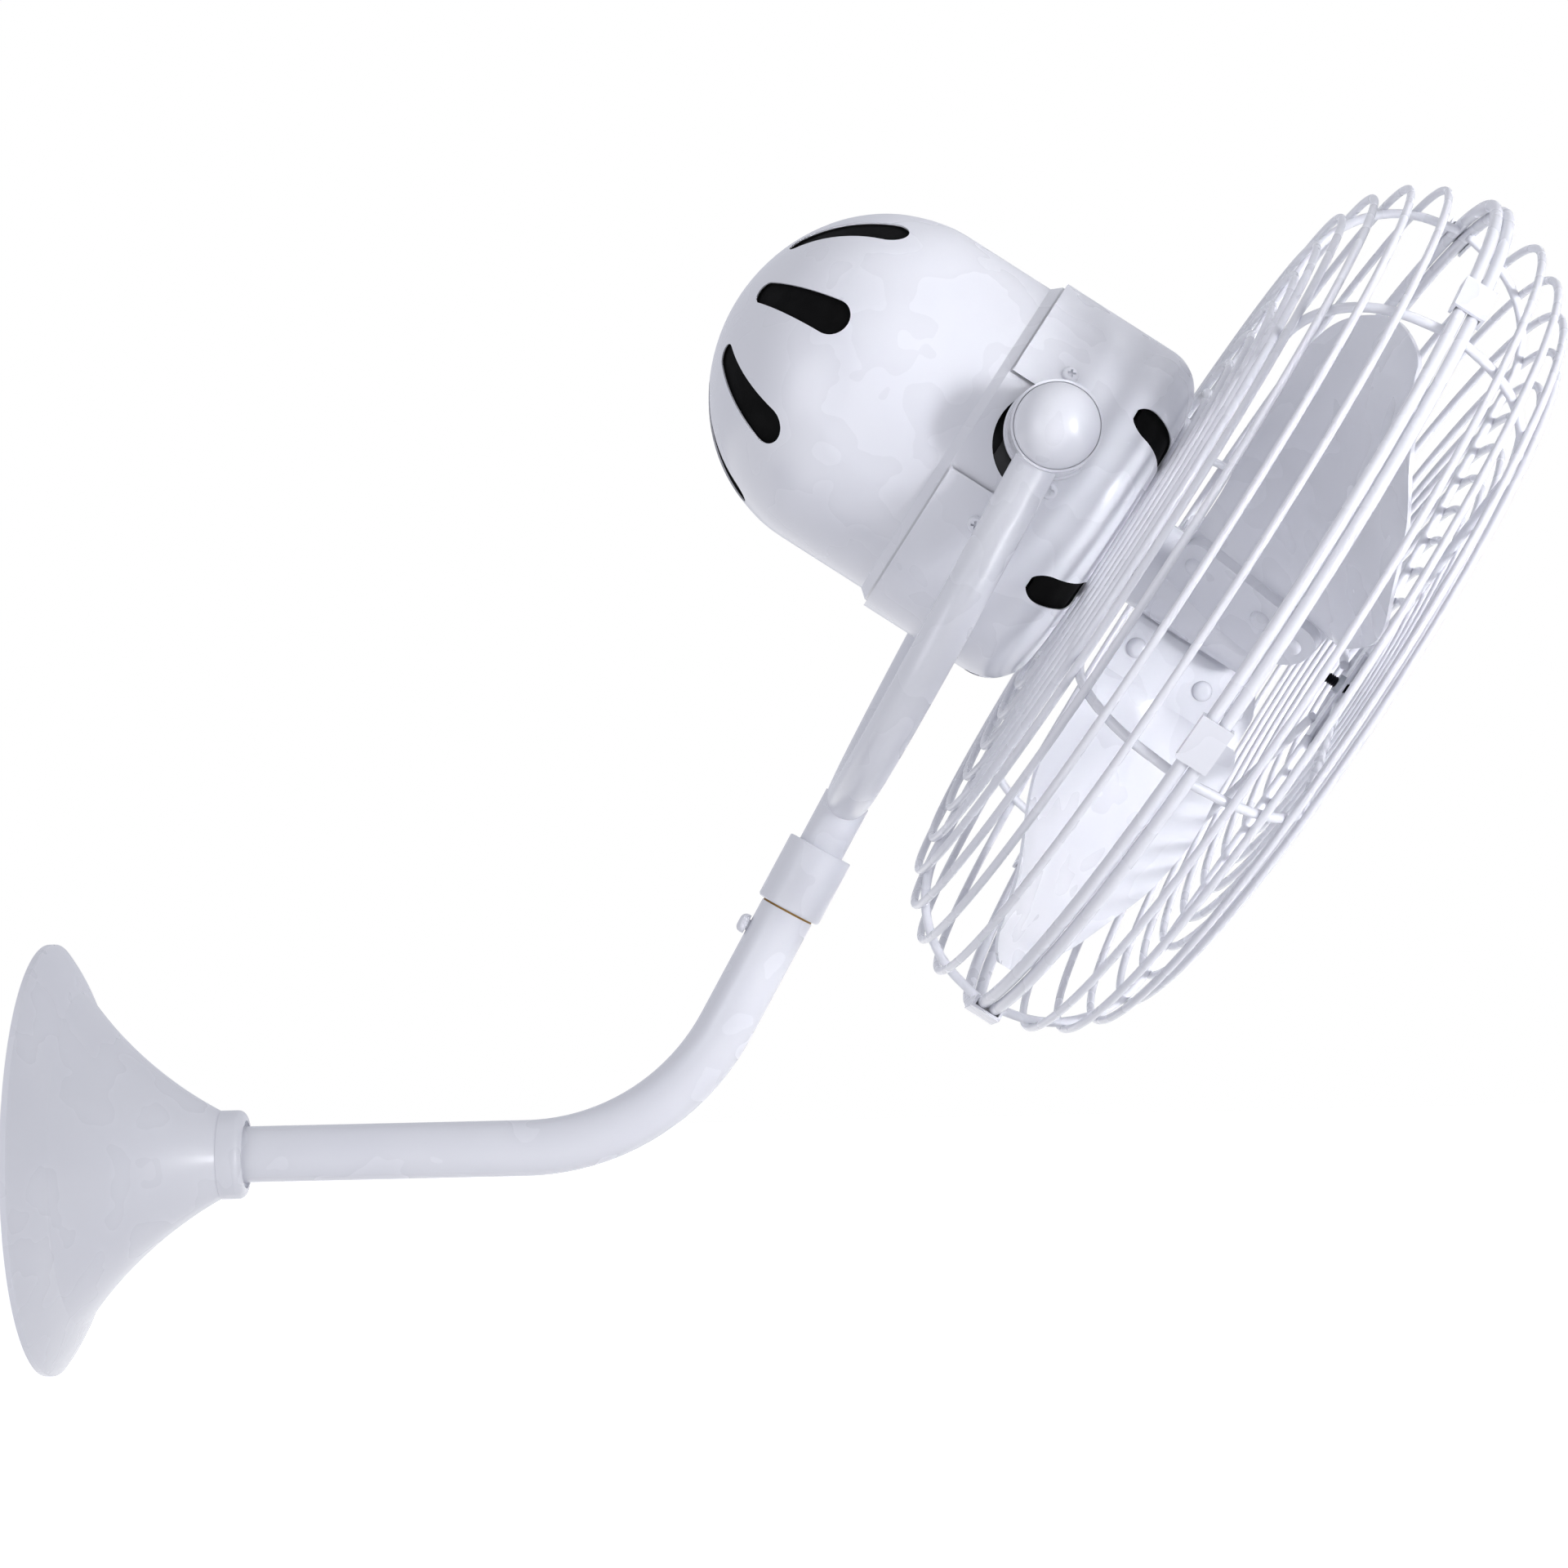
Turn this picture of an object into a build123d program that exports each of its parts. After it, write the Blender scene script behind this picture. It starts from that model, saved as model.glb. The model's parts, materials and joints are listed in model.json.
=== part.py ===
"""Wall mounted fan: a bell canopy on the wall, a bent tube arm, a swivelling yoke, and a
motor head with a wire guard round three paddle blades.  All sizes are in millimetres.

X runs out from the wall, Z is up, and Y runs along the wall.  The origin is on the wall, at
the middle of the canopy, and the first run of the arm tube lies on the X axis."""

import os
from math import acos, atan2, cos, degrees, radians, sin, sqrt

from build123d import *

os.makedirs("parts", exist_ok=True)

# ---------------------------------------------------------------- driving dimensions

# clearances
running_gap = 0.05          # radial, between a turning pin and its bore
slip_gap = 0.4              # radial, where one part slides over another
face_gap = 0.1              # between faces that turn against each other
cover_gap = 0.25            # round a cover in its seat

# wall plate and arm socket
plate_radius = 75
plate_thickness = 4
lead_hole_radius = 8
wall_hole_circle = 60       # radius of the circle that the four wall screws stand on
wall_hole_radius = 3.25
socket_base_radius = 30
socket_base_thickness = 6
socket_boss_radius = 18
socket_length = 36
socket_floor = 4
socket_screw_circle = 23.5
socket_screw_radius = 2.5
socket_screw_head_radius = 4.5
socket_screw_head_height = 3.5
grub_radius = 3

# canopy
canopy_radius = 92
canopy_lip = 2.5
canopy_shoulder_depth = 14
canopy_shoulder_radius = 71
canopy_depth = 73.3
canopy_small_radius = 18.6
canopy_bow = 4.5            # how far the bell's outline bows in from its chord
sheet = 1.2
neck_radius = 19
neck_length = 10.5
neck_round = 3.5
neck_recess_radius = 14.5
neck_recess_depth = 1.6
neck_grub_radius = 2

# arm tube
arm_radius = 12
arm_wall = 1.6
arm_reach = 262.3           # wall to the corner of the bend
arm_bend_radius = 100
arm_rise = 60.5             # degrees above horizontal after the bend
arm_rise_length = 114.1     # corner of the bend to the open end
lead_radius = 3.2

# swivel
bush_flange = 0.8
bush_flange_radius = 11.6
bush_length = 30
spindle_radius = 8
spindle_bore_radius = 4.5
groove_depth = 1.2
groove_width = 6.6
collar_radius = 14.5
collar_length = 30
collar_round = 1.5
lock_screw_drop = 13        # below the open end of the arm
lock_screw_radius = 2.5
lock_head_radius = 4.3
lock_head_height = 4
lock_slot_width = 1.1
lock_slot_depth = 1.6

# yoke
yoke_tube_radius = 9.25
yoke_tube_wall = 1.6
yoke_half_width = 95        # bend radius of the U, and half its width
yoke_height = 168.8         # bottom of the U to the tilt axis
stub_radius = 10.2
stub_length = 24.2
spindle_seat = 12           # how far the spindle enters the stub
cup_radius = 18.6
cup_inner = 84.5            # from the fan's middle plane
cup_depth = 21.5
cup_rim = 1.0
cup_web = 8
cap_height = 13
cap_sheet = 1

# tilt pivots
pivot_radius = 4
pivot_thread_length = 20
pivot_head_radius = 6.5
pivot_head_height = 5
pivot_socket_radius = 2.9
bush_wall = 2
bush_rim_radius = 10
bush_rim = 1
tilt_washer_radius = 19.6
tilt_washer_thickness = 2.1
spring_washer_radius = 9
spring_washer_thickness = 1.3
trunnion_radius = 11

# head placing
head_tilt = 33.7            # degrees below horizontal
pivot_rise = 12.2           # tilt axis above the motor axis
pivot_ahead = 0.8           # tilt axis in front of the head's station zero

# rear dome, along the motor axis from the tilt axis, forward positive
dome_radius = 75.6
dome_round_start = -71.2
dome_round_length = 71.3
dome_knuckle = 69           # radius of the dome's side, which runs on into a flatter crown
skirt_radius = 79
skirt_step_start = -31
skirt_start = -27
skirt_end = 26.2
skirt_hole_radius = 22.5
skirt_hole_forward = 2.3
skirt_hole_rise = 7.6
dome_slot_count = 8
dome_slot_phase = 40
dome_slot_middle = -114.3
dome_slot_height = 53.3
dome_slot_slope = 41
dome_slot_length = 40.9
dome_slot_front_radius = 8
dome_slot_rear_radius = 5.2

# front drum
drum_radius = 81.4
drum_rear = -26
drum_round = 19.4
drum_opening_gap = 1
notch_width = 47
notch_rise = 2.6
notch_end = 5
vent_count = 6
vent_phase = 1.5
vent_round_radius = 7.2
vent_length = 15.9
vent_lean = 45              # degrees from the drum's side towards its front face
screen_gap = 0.4            # between a shell and the black dust screen behind its vents
screen_thickness = 1
drum_screen_inner = 58.5
case_screw_radius = 2
case_screw_head_radius = 3.6
case_screw_head_height = 2.2
case_screws = [(-5, 37.5), (-5, -34.5), (12.8, -8)]   # forward, rise

# motor
bracket_rear = -14
bracket_plate_rear = 14
bracket_plate_thickness = 6
bracket_ring_inner = 68
bracket_window_count = 6
bracket_window_phase = 43.5
bracket_window_radius = 9
bracket_window_circle = 40
nose_radius = 17.5
nose_end = 53
bearing_outer_radius = 14
bearing_inner_radius = 10
bearing_width = 8
front_bearing_rear = 43
rear_bearing_rear = -97
can_outer_radius = 60
can_wall = 3
can_joint = -42
shield_rear = -88
shield_thickness = 4
shield_radius = 68
shield_boss_radius = 18
shield_boss_rear = -98
tie_bolt_radius = 2.5
tie_bolt_circle = 64
tie_bolt_head_radius = 4.2
tie_bolt_head_height = 3
stator_rear = -62
stator_front = -22
stator_slot_count = 24
air_gap = 0.5
rotor_radius = 32
winding_inner = 36
winding_outer = 53
winding_length = 14
winding_round = 5
rotor_ring_length = 5
rotor_ring_inner = 20
rotor_ring_outer = 30
shaft_radius = 6
shaft_rear = -95
capacitor_size = (20, 38, 24)
capacitor_rise = 38

# guard
guard_middle = 108.4        # plane between the two rim wires
rim_radius = 202
rim_wire_radius = 2.65
rim_half_spacing = 2.8
ring_wire_radius = 1.7
rib_wire_radius = 2
weld_depth = 0.5
bowl_wall = 12.3            # length of the bowl's straight wall at the rim
bowl_taper = 12             # degrees of that wall
bowl_round = 50.7           # radius of the bowl's rounded side
bowl_slope = 3              # degrees of the nearly flat face
first_pitch = 20.3          # along the bowl, from the rim wire to the first ring
ring_pitch = 15.15
rear_ring_count = 11
front_ring_count = 13
rib_count = 6
rib_phase = 55.5
clip_phase = 50.5
clip_length = 19
clip_sheet = 1.2
clip_gap = 0.05
clip_reach = 1.7            # how far the clip's sides reach in from the wires' centres
clamp_count = 3
clamp_phase = 13.5
clamp_inner = 44
clamp_width = 12
clamp_lip = 1.8
clamp_screw_circle = 51
clamp_screw_radius = 2
clamp_screw_head_radius = 4
clamp_screw_head_height = 2.6

# badge at the guard's middle
badge_radius = 31
badge_rim = 3
badge_sheet = 0.9
strap_width = 12
strap_thickness = 1.2
badge_stud_radius = 2.5
badge_stud_length = 13.5
badge_nut_radius = 4.6
badge_nut_height = 2.5

# hub and blades
hub_radius = 19.6
hub_rear = 56
hub_front = 128.5
hub_bore_end = 119
hub_round = 2.5
hub_grub_forward = 64.4
hub_grub_azimuth = 118
blade_count = 3
blade_phase = 60
blade_sheet = 1.5
pad_thickness = 5
pad_end = 46.5              # radius at the pad's outer edge
pad_start = 10
pad_middle = 109.6
pad_sideways = 13
pad_corner = 8
pad_inner_corner = 25       # the front corner nearest the axis
root_start = 20
root_corner = 14
root_chord = 70.3
root_pitch = 81.8
# radius, chord, pitch in degrees, sideways and forward shift of the chord's middle, camber
blade_stations = [
    (47, root_chord, root_pitch, pad_sideways, pad_middle - guard_middle, 0.0),
    (60, 82.8, 65.8, 13.0, 3.8, 1.5),
    (75, 97.8, 54.4, 9.5, 3.8, 3.0),
    (90, 117.0, 45.5, 4.0, 3.3, 5.0),
    (105, 133.0, 38.0, -0.5, 3.0, 6.5),
    (120, 140.0, 32.2, -2.8, 3.8, 7.5),
    (136, 130.0, 27.9, -2.5, 4.5, 7.5),
    (150, 110.0, 26.1, -2.5, 4.3, 6.5),
    (162, 89.5, 25.1, -0.5, 3.0, 5.0),
    (172, 64.0, 23.0, 0.5, 0.5, 3.5),
    (177.5, 44.0, 21.0, 1.0, 0.0, 2.5),
    (180.5, 24.0, 20.0, 1.5, 0.0, 1.5),
]
rivet_radius = 2
rivet_head_radius = 4.5
rivet_head_height = 2.6
rivet_circle = 33
rivet_places = (-26, 9, 26)

# ---------------------------------------------------------------- planes and axes

rise = Vector(cos(radians(arm_rise)), 0, sin(radians(arm_rise)))
forward = Vector(cos(radians(head_tilt)), 0, -sin(radians(head_tilt)))
upright = Vector(sin(radians(head_tilt)), 0, cos(radians(head_tilt)))

wall = Plane(origin=(0, 0, 0), x_dir=(0, 1, 0), z_dir=(1, 0, 0))
arm_corner = Vector(arm_reach, 0, 0)
arm_end = arm_corner + rise * arm_rise_length
collar_base = arm_end + rise * bush_flange
swivel = Plane(origin=collar_base, x_dir=(0, 1, 0), z_dir=rise)

yoke_bottom = collar_base + rise * (collar_length + stub_length)
pivot = yoke_bottom + rise * yoke_height
yoke_plane = Plane(origin=yoke_bottom, x_dir=(0, 1, 0), z_dir=swivel.y_dir * -1)

head_origin = pivot - upright * pivot_rise - forward * pivot_ahead
motor_axis = Axis(head_origin, forward)
head_side = Plane(origin=head_origin, x_dir=forward, z_dir=(0, -1, 0))
head_face = Plane(origin=head_origin, x_dir=(0, 1, 0), z_dir=forward)


def ray(azimuth):
    """The half plane through the motor axis at an angle from upright: x forward, y outward."""
    around = Vector(0, -1, 0) * cos(radians(azimuth)) - upright * sin(radians(azimuth))
    return Plane(origin=head_origin, x_dir=forward, z_dir=around)


def on_ray(azimuth, station, radius, lean=0):
    """A plane that touches the head at a point, its normal outward and leaning forward."""
    half_plane = ray(azimuth)
    outward = half_plane.y_dir * cos(radians(lean)) + half_plane.x_dir * sin(radians(lean))
    along = half_plane.x_dir * cos(radians(lean)) - half_plane.y_dir * sin(radians(lean))
    return Plane(origin=half_plane.from_local_coords((station, radius, 0)), x_dir=along, z_dir=outward)


def beside(distance, station=0, height=0):
    """A plane across the tilt axis on the -Y side, at a distance from the fan's middle."""
    origin = pivot + forward * station + upright * height + Vector(0, -distance, 0)
    return Plane(origin=origin, x_dir=forward, z_dir=(0, -1, 0))


def bowl_point(length, inset=0):
    """A point of the guard bowl's profile at a length from the rim: outward, radius."""
    rim_angle = radians(90 - bowl_taper)
    face_angle = radians(bowl_slope)
    arc = bowl_round * (rim_angle - face_angle)
    angle = min(rim_angle, max(face_angle, rim_angle - (length - bowl_wall) / bowl_round))
    straight = min(0, length - bowl_wall) + max(0, length - bowl_wall - arc)
    centre_outward = bowl_wall * sin(rim_angle) - bowl_round * cos(rim_angle)
    centre_radius = rim_radius - bowl_wall * cos(rim_angle) - bowl_round * sin(rim_angle)
    reach = bowl_round - inset
    return (centre_outward + reach * cos(angle) + straight * sin(angle),
            centre_radius + reach * sin(angle) - straight * cos(angle))


def write(part, name):
    """Label a finished piece and write its file."""
    part.label = name
    export_step(part, f"parts/{name}.step")


# ---------------------------------------------------------------- wall plate and socket

with BuildPart() as wall_plate:
    with BuildSketch(wall):
        Circle(plate_radius)
        Circle(lead_hole_radius + sheet, mode=Mode.SUBTRACT)
        with PolarLocations(wall_hole_circle, 4, start_angle=45):
            Circle(wall_hole_radius, mode=Mode.SUBTRACT)
        with PolarLocations(socket_screw_circle, 3, start_angle=90):
            Circle(socket_screw_radius, mode=Mode.SUBTRACT)
    extrude(amount=plate_thickness)
write(wall_plate.part, "wall_plate")

socket_face = wall.offset(plate_thickness)
tube_start = plate_thickness + socket_floor
with BuildPart() as arm_socket:
    with BuildSketch(socket_face):
        Circle(socket_base_radius)
    extrude(amount=socket_base_thickness)
    fillet(arm_socket.faces().sort_by(Axis.X)[-1].edges(), 2)
    with BuildSketch(socket_face):
        Circle(socket_boss_radius)
    extrude(amount=socket_length)
    fillet(arm_socket.faces().sort_by(Axis.X)[-1].edges(), 1)
    with BuildSketch(wall.offset(tube_start)):
        Circle(arm_radius + running_gap)
    extrude(amount=socket_length, mode=Mode.SUBTRACT)
    with BuildSketch(socket_face):
        Circle(lead_hole_radius)
        with PolarLocations(socket_screw_circle, 3, start_angle=90):
            Circle(socket_screw_radius + slip_gap)
    extrude(amount=socket_base_thickness, mode=Mode.SUBTRACT)
    socket_grub_station = plate_thickness + socket_length - 9
    with BuildSketch(Plane.XZ):
        with Locations((socket_grub_station, 0)):
            Circle(grub_radius)
    extrude(amount=socket_boss_radius + 1, both=True, mode=Mode.SUBTRACT)
write(arm_socket.part, "arm_socket")

with BuildPart() as socket_screws:
    with BuildSketch(wall.offset(0.5)):
        with PolarLocations(socket_screw_circle, 3, start_angle=90):
            Circle(socket_screw_radius)
    extrude(amount=plate_thickness + socket_base_thickness - 0.5)
    with BuildSketch(socket_face.offset(socket_base_thickness)):
        with PolarLocations(socket_screw_circle, 3, start_angle=90):
            Circle(socket_screw_head_radius)
    extrude(amount=socket_screw_head_height)
    with BuildSketch(socket_face.offset(socket_base_thickness + socket_screw_head_height)):
        with PolarLocations(socket_screw_circle, 3, start_angle=90):
            Rectangle(2 * socket_screw_head_radius, 1.2)
    extrude(amount=-1.4, mode=Mode.SUBTRACT)
write(socket_screws.part, "socket_screws")

with BuildPart() as socket_grubs:
    for side in (-1, 1):
        with BuildSketch(Plane.XZ.offset(side * arm_radius)):
            with Locations((socket_grub_station, 0)):
                Circle(grub_radius)
        extrude(amount=side * (socket_boss_radius - arm_radius - 0.5))
write(socket_grubs.part, "socket_grubs")

# ---------------------------------------------------------------- canopy

with BuildPart() as canopy_bell:
    with BuildSketch(Plane.XZ):
        with BuildLine():
            lip_end = (canopy_lip, canopy_radius)
            shoulder = Vector(canopy_shoulder_depth, canopy_shoulder_radius)
            small_end = Vector(canopy_depth, canopy_small_radius)
            chord = small_end - shoulder
            chord_normal = Vector(-chord.Y, chord.X).normalized()
            waist = (shoulder + small_end) / 2 - chord_normal * canopy_bow
            Line((0, canopy_radius), lip_end)
            ThreePointArc(lip_end, (7.4, 84.6), (shoulder.X, shoulder.Y))
            ThreePointArc((shoulder.X, shoulder.Y), (waist.X, waist.Y), (small_end.X, small_end.Y))
            Line((small_end.X, small_end.Y), (small_end.X, arm_radius + slip_gap))
            offset(amount=sheet, side=Side.RIGHT)
        make_face()
    revolve(axis=Axis.X)
write(canopy_bell.part, "canopy_bell")

neck_grub_station = canopy_depth + neck_length / 2
with BuildPart() as canopy_neck:
    with BuildSketch(wall.offset(canopy_depth)):
        Circle(neck_radius)
    extrude(amount=neck_length)
    fillet(canopy_neck.faces().sort_by(Axis.X)[-1].edges(), neck_round)
    with BuildSketch(wall.offset(canopy_depth)):
        Circle(arm_radius + slip_gap)
    extrude(amount=neck_length, mode=Mode.SUBTRACT)
    with BuildSketch(wall.offset(canopy_depth + neck_length)):
        Circle(neck_recess_radius)
    extrude(amount=-neck_recess_depth, mode=Mode.SUBTRACT)
    with BuildSketch(Plane.XY):
        with Locations((neck_grub_station, 0)):
            Circle(neck_grub_radius)
    extrude(amount=-neck_radius - 1, mode=Mode.SUBTRACT)
write(canopy_neck.part, "canopy_neck")

with BuildPart() as canopy_grub:
    with BuildSketch(Plane.XY.offset(-arm_radius)):
        with Locations((neck_grub_station, 0)):
            Circle(neck_grub_radius)
    extrude(amount=-(neck_radius - arm_radius - 1))
    with BuildSketch(Plane.XY.offset(-neck_radius + 1)):
        with Locations((neck_grub_station, 0)):
            RegularPolygon(1, 6)
    extrude(amount=2, mode=Mode.SUBTRACT)
write(canopy_grub.part, "canopy_grub")

# ---------------------------------------------------------------- arm tube and lead

with BuildPart() as arm_tube:
    with BuildLine(Plane.XZ) as arm_path:
        FilletPolyline((tube_start, 0), (arm_corner.X, 0), (arm_end.X, arm_end.Z), radius=arm_bend_radius)
    with BuildSketch(wall.offset(tube_start)):
        Circle(arm_radius)
        Circle(arm_radius - arm_wall, mode=Mode.SUBTRACT)
    sweep(path=arm_path.line)
    with BuildSketch(Plane(origin=arm_end - rise * lock_screw_drop, x_dir=rise, z_dir=swivel.y_dir)):
        Circle(lock_screw_radius + running_gap)
    extrude(amount=arm_radius + 2, mode=Mode.SUBTRACT)
write(arm_tube.part, "arm_tube")

lead_end = arm_end - rise * (bush_length + 6)
with BuildPart() as supply_lead:
    with BuildLine(Plane.XZ) as lead_path:
        FilletPolyline((0.5, 0), (arm_corner.X, 0), (lead_end.X, lead_end.Z), radius=arm_bend_radius)
    with BuildSketch(wall.offset(0.5)):
        Circle(lead_radius)
    sweep(path=lead_path.line)
write(supply_lead.part, "supply_lead")

with BuildPart() as lead_grommet:
    with BuildSketch(wall.offset(0.5)):
        Circle(lead_hole_radius + sheet - running_gap)
    extrude(amount=plate_thickness - 0.5)
    with BuildSketch(wall.offset(plate_thickness)):
        Circle(lead_hole_radius - running_gap)
    extrude(amount=socket_floor - running_gap)
    with BuildSketch(wall):
        Circle(lead_radius + running_gap)
    extrude(amount=tube_start + 1, mode=Mode.SUBTRACT)
write(lead_grommet.part, "lead_grommet")

# ---------------------------------------------------------------- swivel joint

with BuildPart() as swivel_bush:
    with BuildSketch(swivel.offset(-bush_flange)):
        Circle(bush_flange_radius)
    extrude(amount=bush_flange)
    with BuildSketch(swivel.offset(-bush_flange)):
        Circle(arm_radius - arm_wall - running_gap)
    extrude(amount=-bush_length)
    with BuildSketch(swivel):
        Circle(spindle_radius + running_gap)
    extrude(amount=-bush_length - bush_flange, mode=Mode.SUBTRACT)
    with BuildSketch(Plane(origin=arm_end - rise * lock_screw_drop, x_dir=rise, z_dir=swivel.y_dir)):
        Circle(lock_screw_radius + slip_gap)
    extrude(amount=arm_radius, mode=Mode.SUBTRACT)
write(swivel_bush.part, "swivel_bush")

groove_middle = -bush_flange - lock_screw_drop
with BuildPart() as swivel_spindle:
    with BuildSketch(swivel.offset(-bush_flange - bush_length)):
        Circle(spindle_radius)
        Circle(spindle_bore_radius, mode=Mode.SUBTRACT)
    extrude(amount=bush_flange + bush_length + collar_length + spindle_seat)
    with BuildSketch(swivel.offset(groove_middle - groove_width / 2)):
        Circle(spindle_radius)
        Circle(spindle_radius - groove_depth, mode=Mode.SUBTRACT)
    extrude(amount=groove_width, mode=Mode.SUBTRACT)
write(swivel_spindle.part, "swivel_spindle")

with BuildPart() as swivel_collar:
    with BuildSketch(swivel.offset(face_gap)):
        Circle(collar_radius)
    extrude(amount=collar_length - face_gap)
    fillet(swivel_collar.faces().sort_by(Axis(collar_base, rise))[0].edges(), collar_round)
    fillet(swivel_collar.faces().sort_by(Axis(collar_base, rise))[-1].edges(), collar_round / 2)
    with BuildSketch(swivel):
        Circle(spindle_radius + running_gap)
    extrude(amount=collar_length, mode=Mode.SUBTRACT)
write(swivel_collar.part, "swivel_collar")

lock_tip = spindle_radius - groove_depth + 2 * face_gap
lock_plane = Plane(origin=arm_end - rise * lock_screw_drop, x_dir=rise, z_dir=swivel.y_dir)
lock_seat = arm_radius + 0.6
with BuildPart() as arm_lock_screw:
    with BuildSketch(lock_plane.offset(lock_tip)):
        Circle(lock_screw_radius)
    extrude(amount=lock_seat - lock_tip)
    with BuildSketch(lock_plane.offset(lock_seat)):
        Circle(lock_head_radius)
    extrude(amount=lock_head_height)
    head_top = arm_lock_screw.faces().sort_by(Axis(lock_plane.origin, lock_plane.z_dir))[-1]
    fillet(head_top.edges(), lock_head_height * 0.7)
    with BuildSketch(lock_plane.offset(lock_seat + lock_head_height)):
        Rectangle(2 * lock_head_radius, lock_slot_width, rotation=20)
    extrude(amount=-lock_slot_depth, mode=Mode.SUBTRACT)
write(arm_lock_screw.part, "arm_lock_screw")

# ---------------------------------------------------------------- yoke

arm_top = yoke_height - cup_radius + 5
with BuildPart() as yoke:
    with BuildLine(yoke_plane) as yoke_path:
        Line((-yoke_half_width, arm_top), (-yoke_half_width, yoke_half_width))
        ThreePointArc((-yoke_half_width, yoke_half_width), (0, 0), (yoke_half_width, yoke_half_width))
        Line((yoke_half_width, yoke_half_width), (yoke_half_width, arm_top))
    tube_top = Plane(origin=yoke_path.line @ 0, z_dir=yoke_path.line % 0)
    with BuildSketch(tube_top):
        Circle(yoke_tube_radius)
    sweep(path=yoke_path.line)
    with BuildSketch(swivel.offset(collar_length)):
        Circle(stub_radius)
    extrude(amount=stub_length)
    with BuildSketch(beside(cup_inner)):
        Circle(cup_radius)
    cup = extrude(amount=cup_depth)
    mirror(cup, about=Plane.XZ)
    with BuildSketch(tube_top):
        Circle(yoke_tube_radius - yoke_tube_wall)
    sweep(path=yoke_path.line, mode=Mode.SUBTRACT)
    with BuildSketch(beside(cup_inner + cup_web)):
        Circle(cup_radius - cup_rim)
    cavity = extrude(amount=cup_depth, mode=Mode.SUBTRACT)
    mirror(cavity, about=Plane.XZ, mode=Mode.SUBTRACT)
    with BuildSketch(beside(cup_inner)):
        Circle(pivot_radius + bush_wall + running_gap)
    web_hole = extrude(amount=cup_web, mode=Mode.SUBTRACT)
    mirror(web_hole, about=Plane.XZ, mode=Mode.SUBTRACT)
    with BuildSketch(swivel.offset(collar_length)):
        Circle(spindle_radius + running_gap)
    extrude(amount=spindle_seat, mode=Mode.SUBTRACT)
write(yoke.part, "yoke")

bush_outer_face = cup_inner + cup_web
with BuildPart() as tilt_bushes:
    with BuildSketch(beside(cup_inner + face_gap)):
        Circle(pivot_radius + bush_wall)
    extrude(amount=cup_web - face_gap)
    with BuildSketch(beside(bush_outer_face)):
        Circle(bush_rim_radius)
    extrude(amount=bush_rim)
    with BuildSketch(beside(cup_inner)):
        Circle(pivot_radius + running_gap)
    extrude(amount=cup_web + bush_rim, mode=Mode.SUBTRACT)
    mirror(about=Plane.XZ)
write(tilt_bushes.part, "tilt_bushes")

cap_radius = cup_radius - cup_rim - cover_gap
cap_foot = bush_outer_face
cap_shoulder = cup_inner + cup_depth
cap_top = cap_shoulder + cap_height
ball_radius = (cap_radius ** 2 + cap_height ** 2) / (2 * cap_height)
ball_centre = cap_top - ball_radius


def ball_arc(foot_radius, ball):
    """The half outline of a ball's crown, from the foot radius to the axis."""
    foot_height = ball_centre + sqrt(ball ** 2 - foot_radius ** 2)
    middle = (ball * sin(0.5), ball_centre + ball * cos(0.5))
    ThreePointArc((foot_radius, foot_height), middle, (0, ball_centre + ball))
    return foot_height


with BuildPart() as cap_shape:
    with BuildSketch(Plane.XZ):
        with BuildLine():
            cap_inner = cap_radius - cap_sheet
            outer_foot = ball_arc(cap_radius, ball_radius)
            inner_foot = ball_arc(cap_inner, ball_radius - cap_sheet)
            Line((0, cap_top), (0, cap_top - cap_sheet))
            Polyline((cap_radius, outer_foot), (cap_radius, cap_foot), (cap_inner, cap_foot),
                     (cap_inner, inner_foot))
        make_face()
    revolve(axis=Axis.Z)
for side, name in ((-1, "ball_cap_near"), (1, "ball_cap_far")):
    with BuildPart() as ball_cap:
        seat = Plane(origin=pivot, x_dir=forward, z_dir=(0, side, 0))
        add(seat.location * cap_shape.part)
    write(ball_cap.part, name)

# ---------------------------------------------------------------- tilt pivots

trunnion_face = cup_inner - 0.2 - tilt_washer_thickness
with BuildPart() as tilt_washers:
    with BuildSketch(beside(trunnion_face)):
        Circle(tilt_washer_radius)
        Circle(pivot_radius + running_gap, mode=Mode.SUBTRACT)
    extrude(amount=tilt_washer_thickness)
    mirror(about=Plane.XZ)
write(tilt_washers.part, "tilt_washers")

washer_seat = bush_outer_face + bush_rim + face_gap
pivot_seat = washer_seat + spring_washer_thickness
with BuildPart() as pivot_bolts:
    with BuildSketch(beside(trunnion_face - pivot_thread_length)):
        Circle(pivot_radius)
    extrude(amount=pivot_seat - trunnion_face + pivot_thread_length)
    with BuildSketch(beside(pivot_seat)):
        Circle(pivot_head_radius)
    extrude(amount=pivot_head_height)
    with BuildSketch(beside(pivot_seat + pivot_head_height)):
        RegularPolygon(pivot_socket_radius, 6)
    extrude(amount=-pivot_head_height * 0.6, mode=Mode.SUBTRACT)
    mirror(about=Plane.XZ)
write(pivot_bolts.part, "pivot_bolts")

with BuildPart() as pivot_washers:
    with BuildSketch(beside(washer_seat)):
        Circle(spring_washer_radius)
        Circle(pivot_radius + running_gap, mode=Mode.SUBTRACT)
    extrude(amount=spring_washer_thickness)
    mirror(about=Plane.XZ)
write(pivot_washers.part, "pivot_washers")

# ---------------------------------------------------------------- rear dome

side_reach = dome_radius - dome_knuckle
crown_radius = (side_reach**2 + dome_round_length**2 - dome_knuckle**2) / (2 * (dome_round_length - dome_knuckle))
crown_reach = crown_radius - dome_round_length
crown_angle = degrees(atan2(side_reach, crown_reach))


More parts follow.
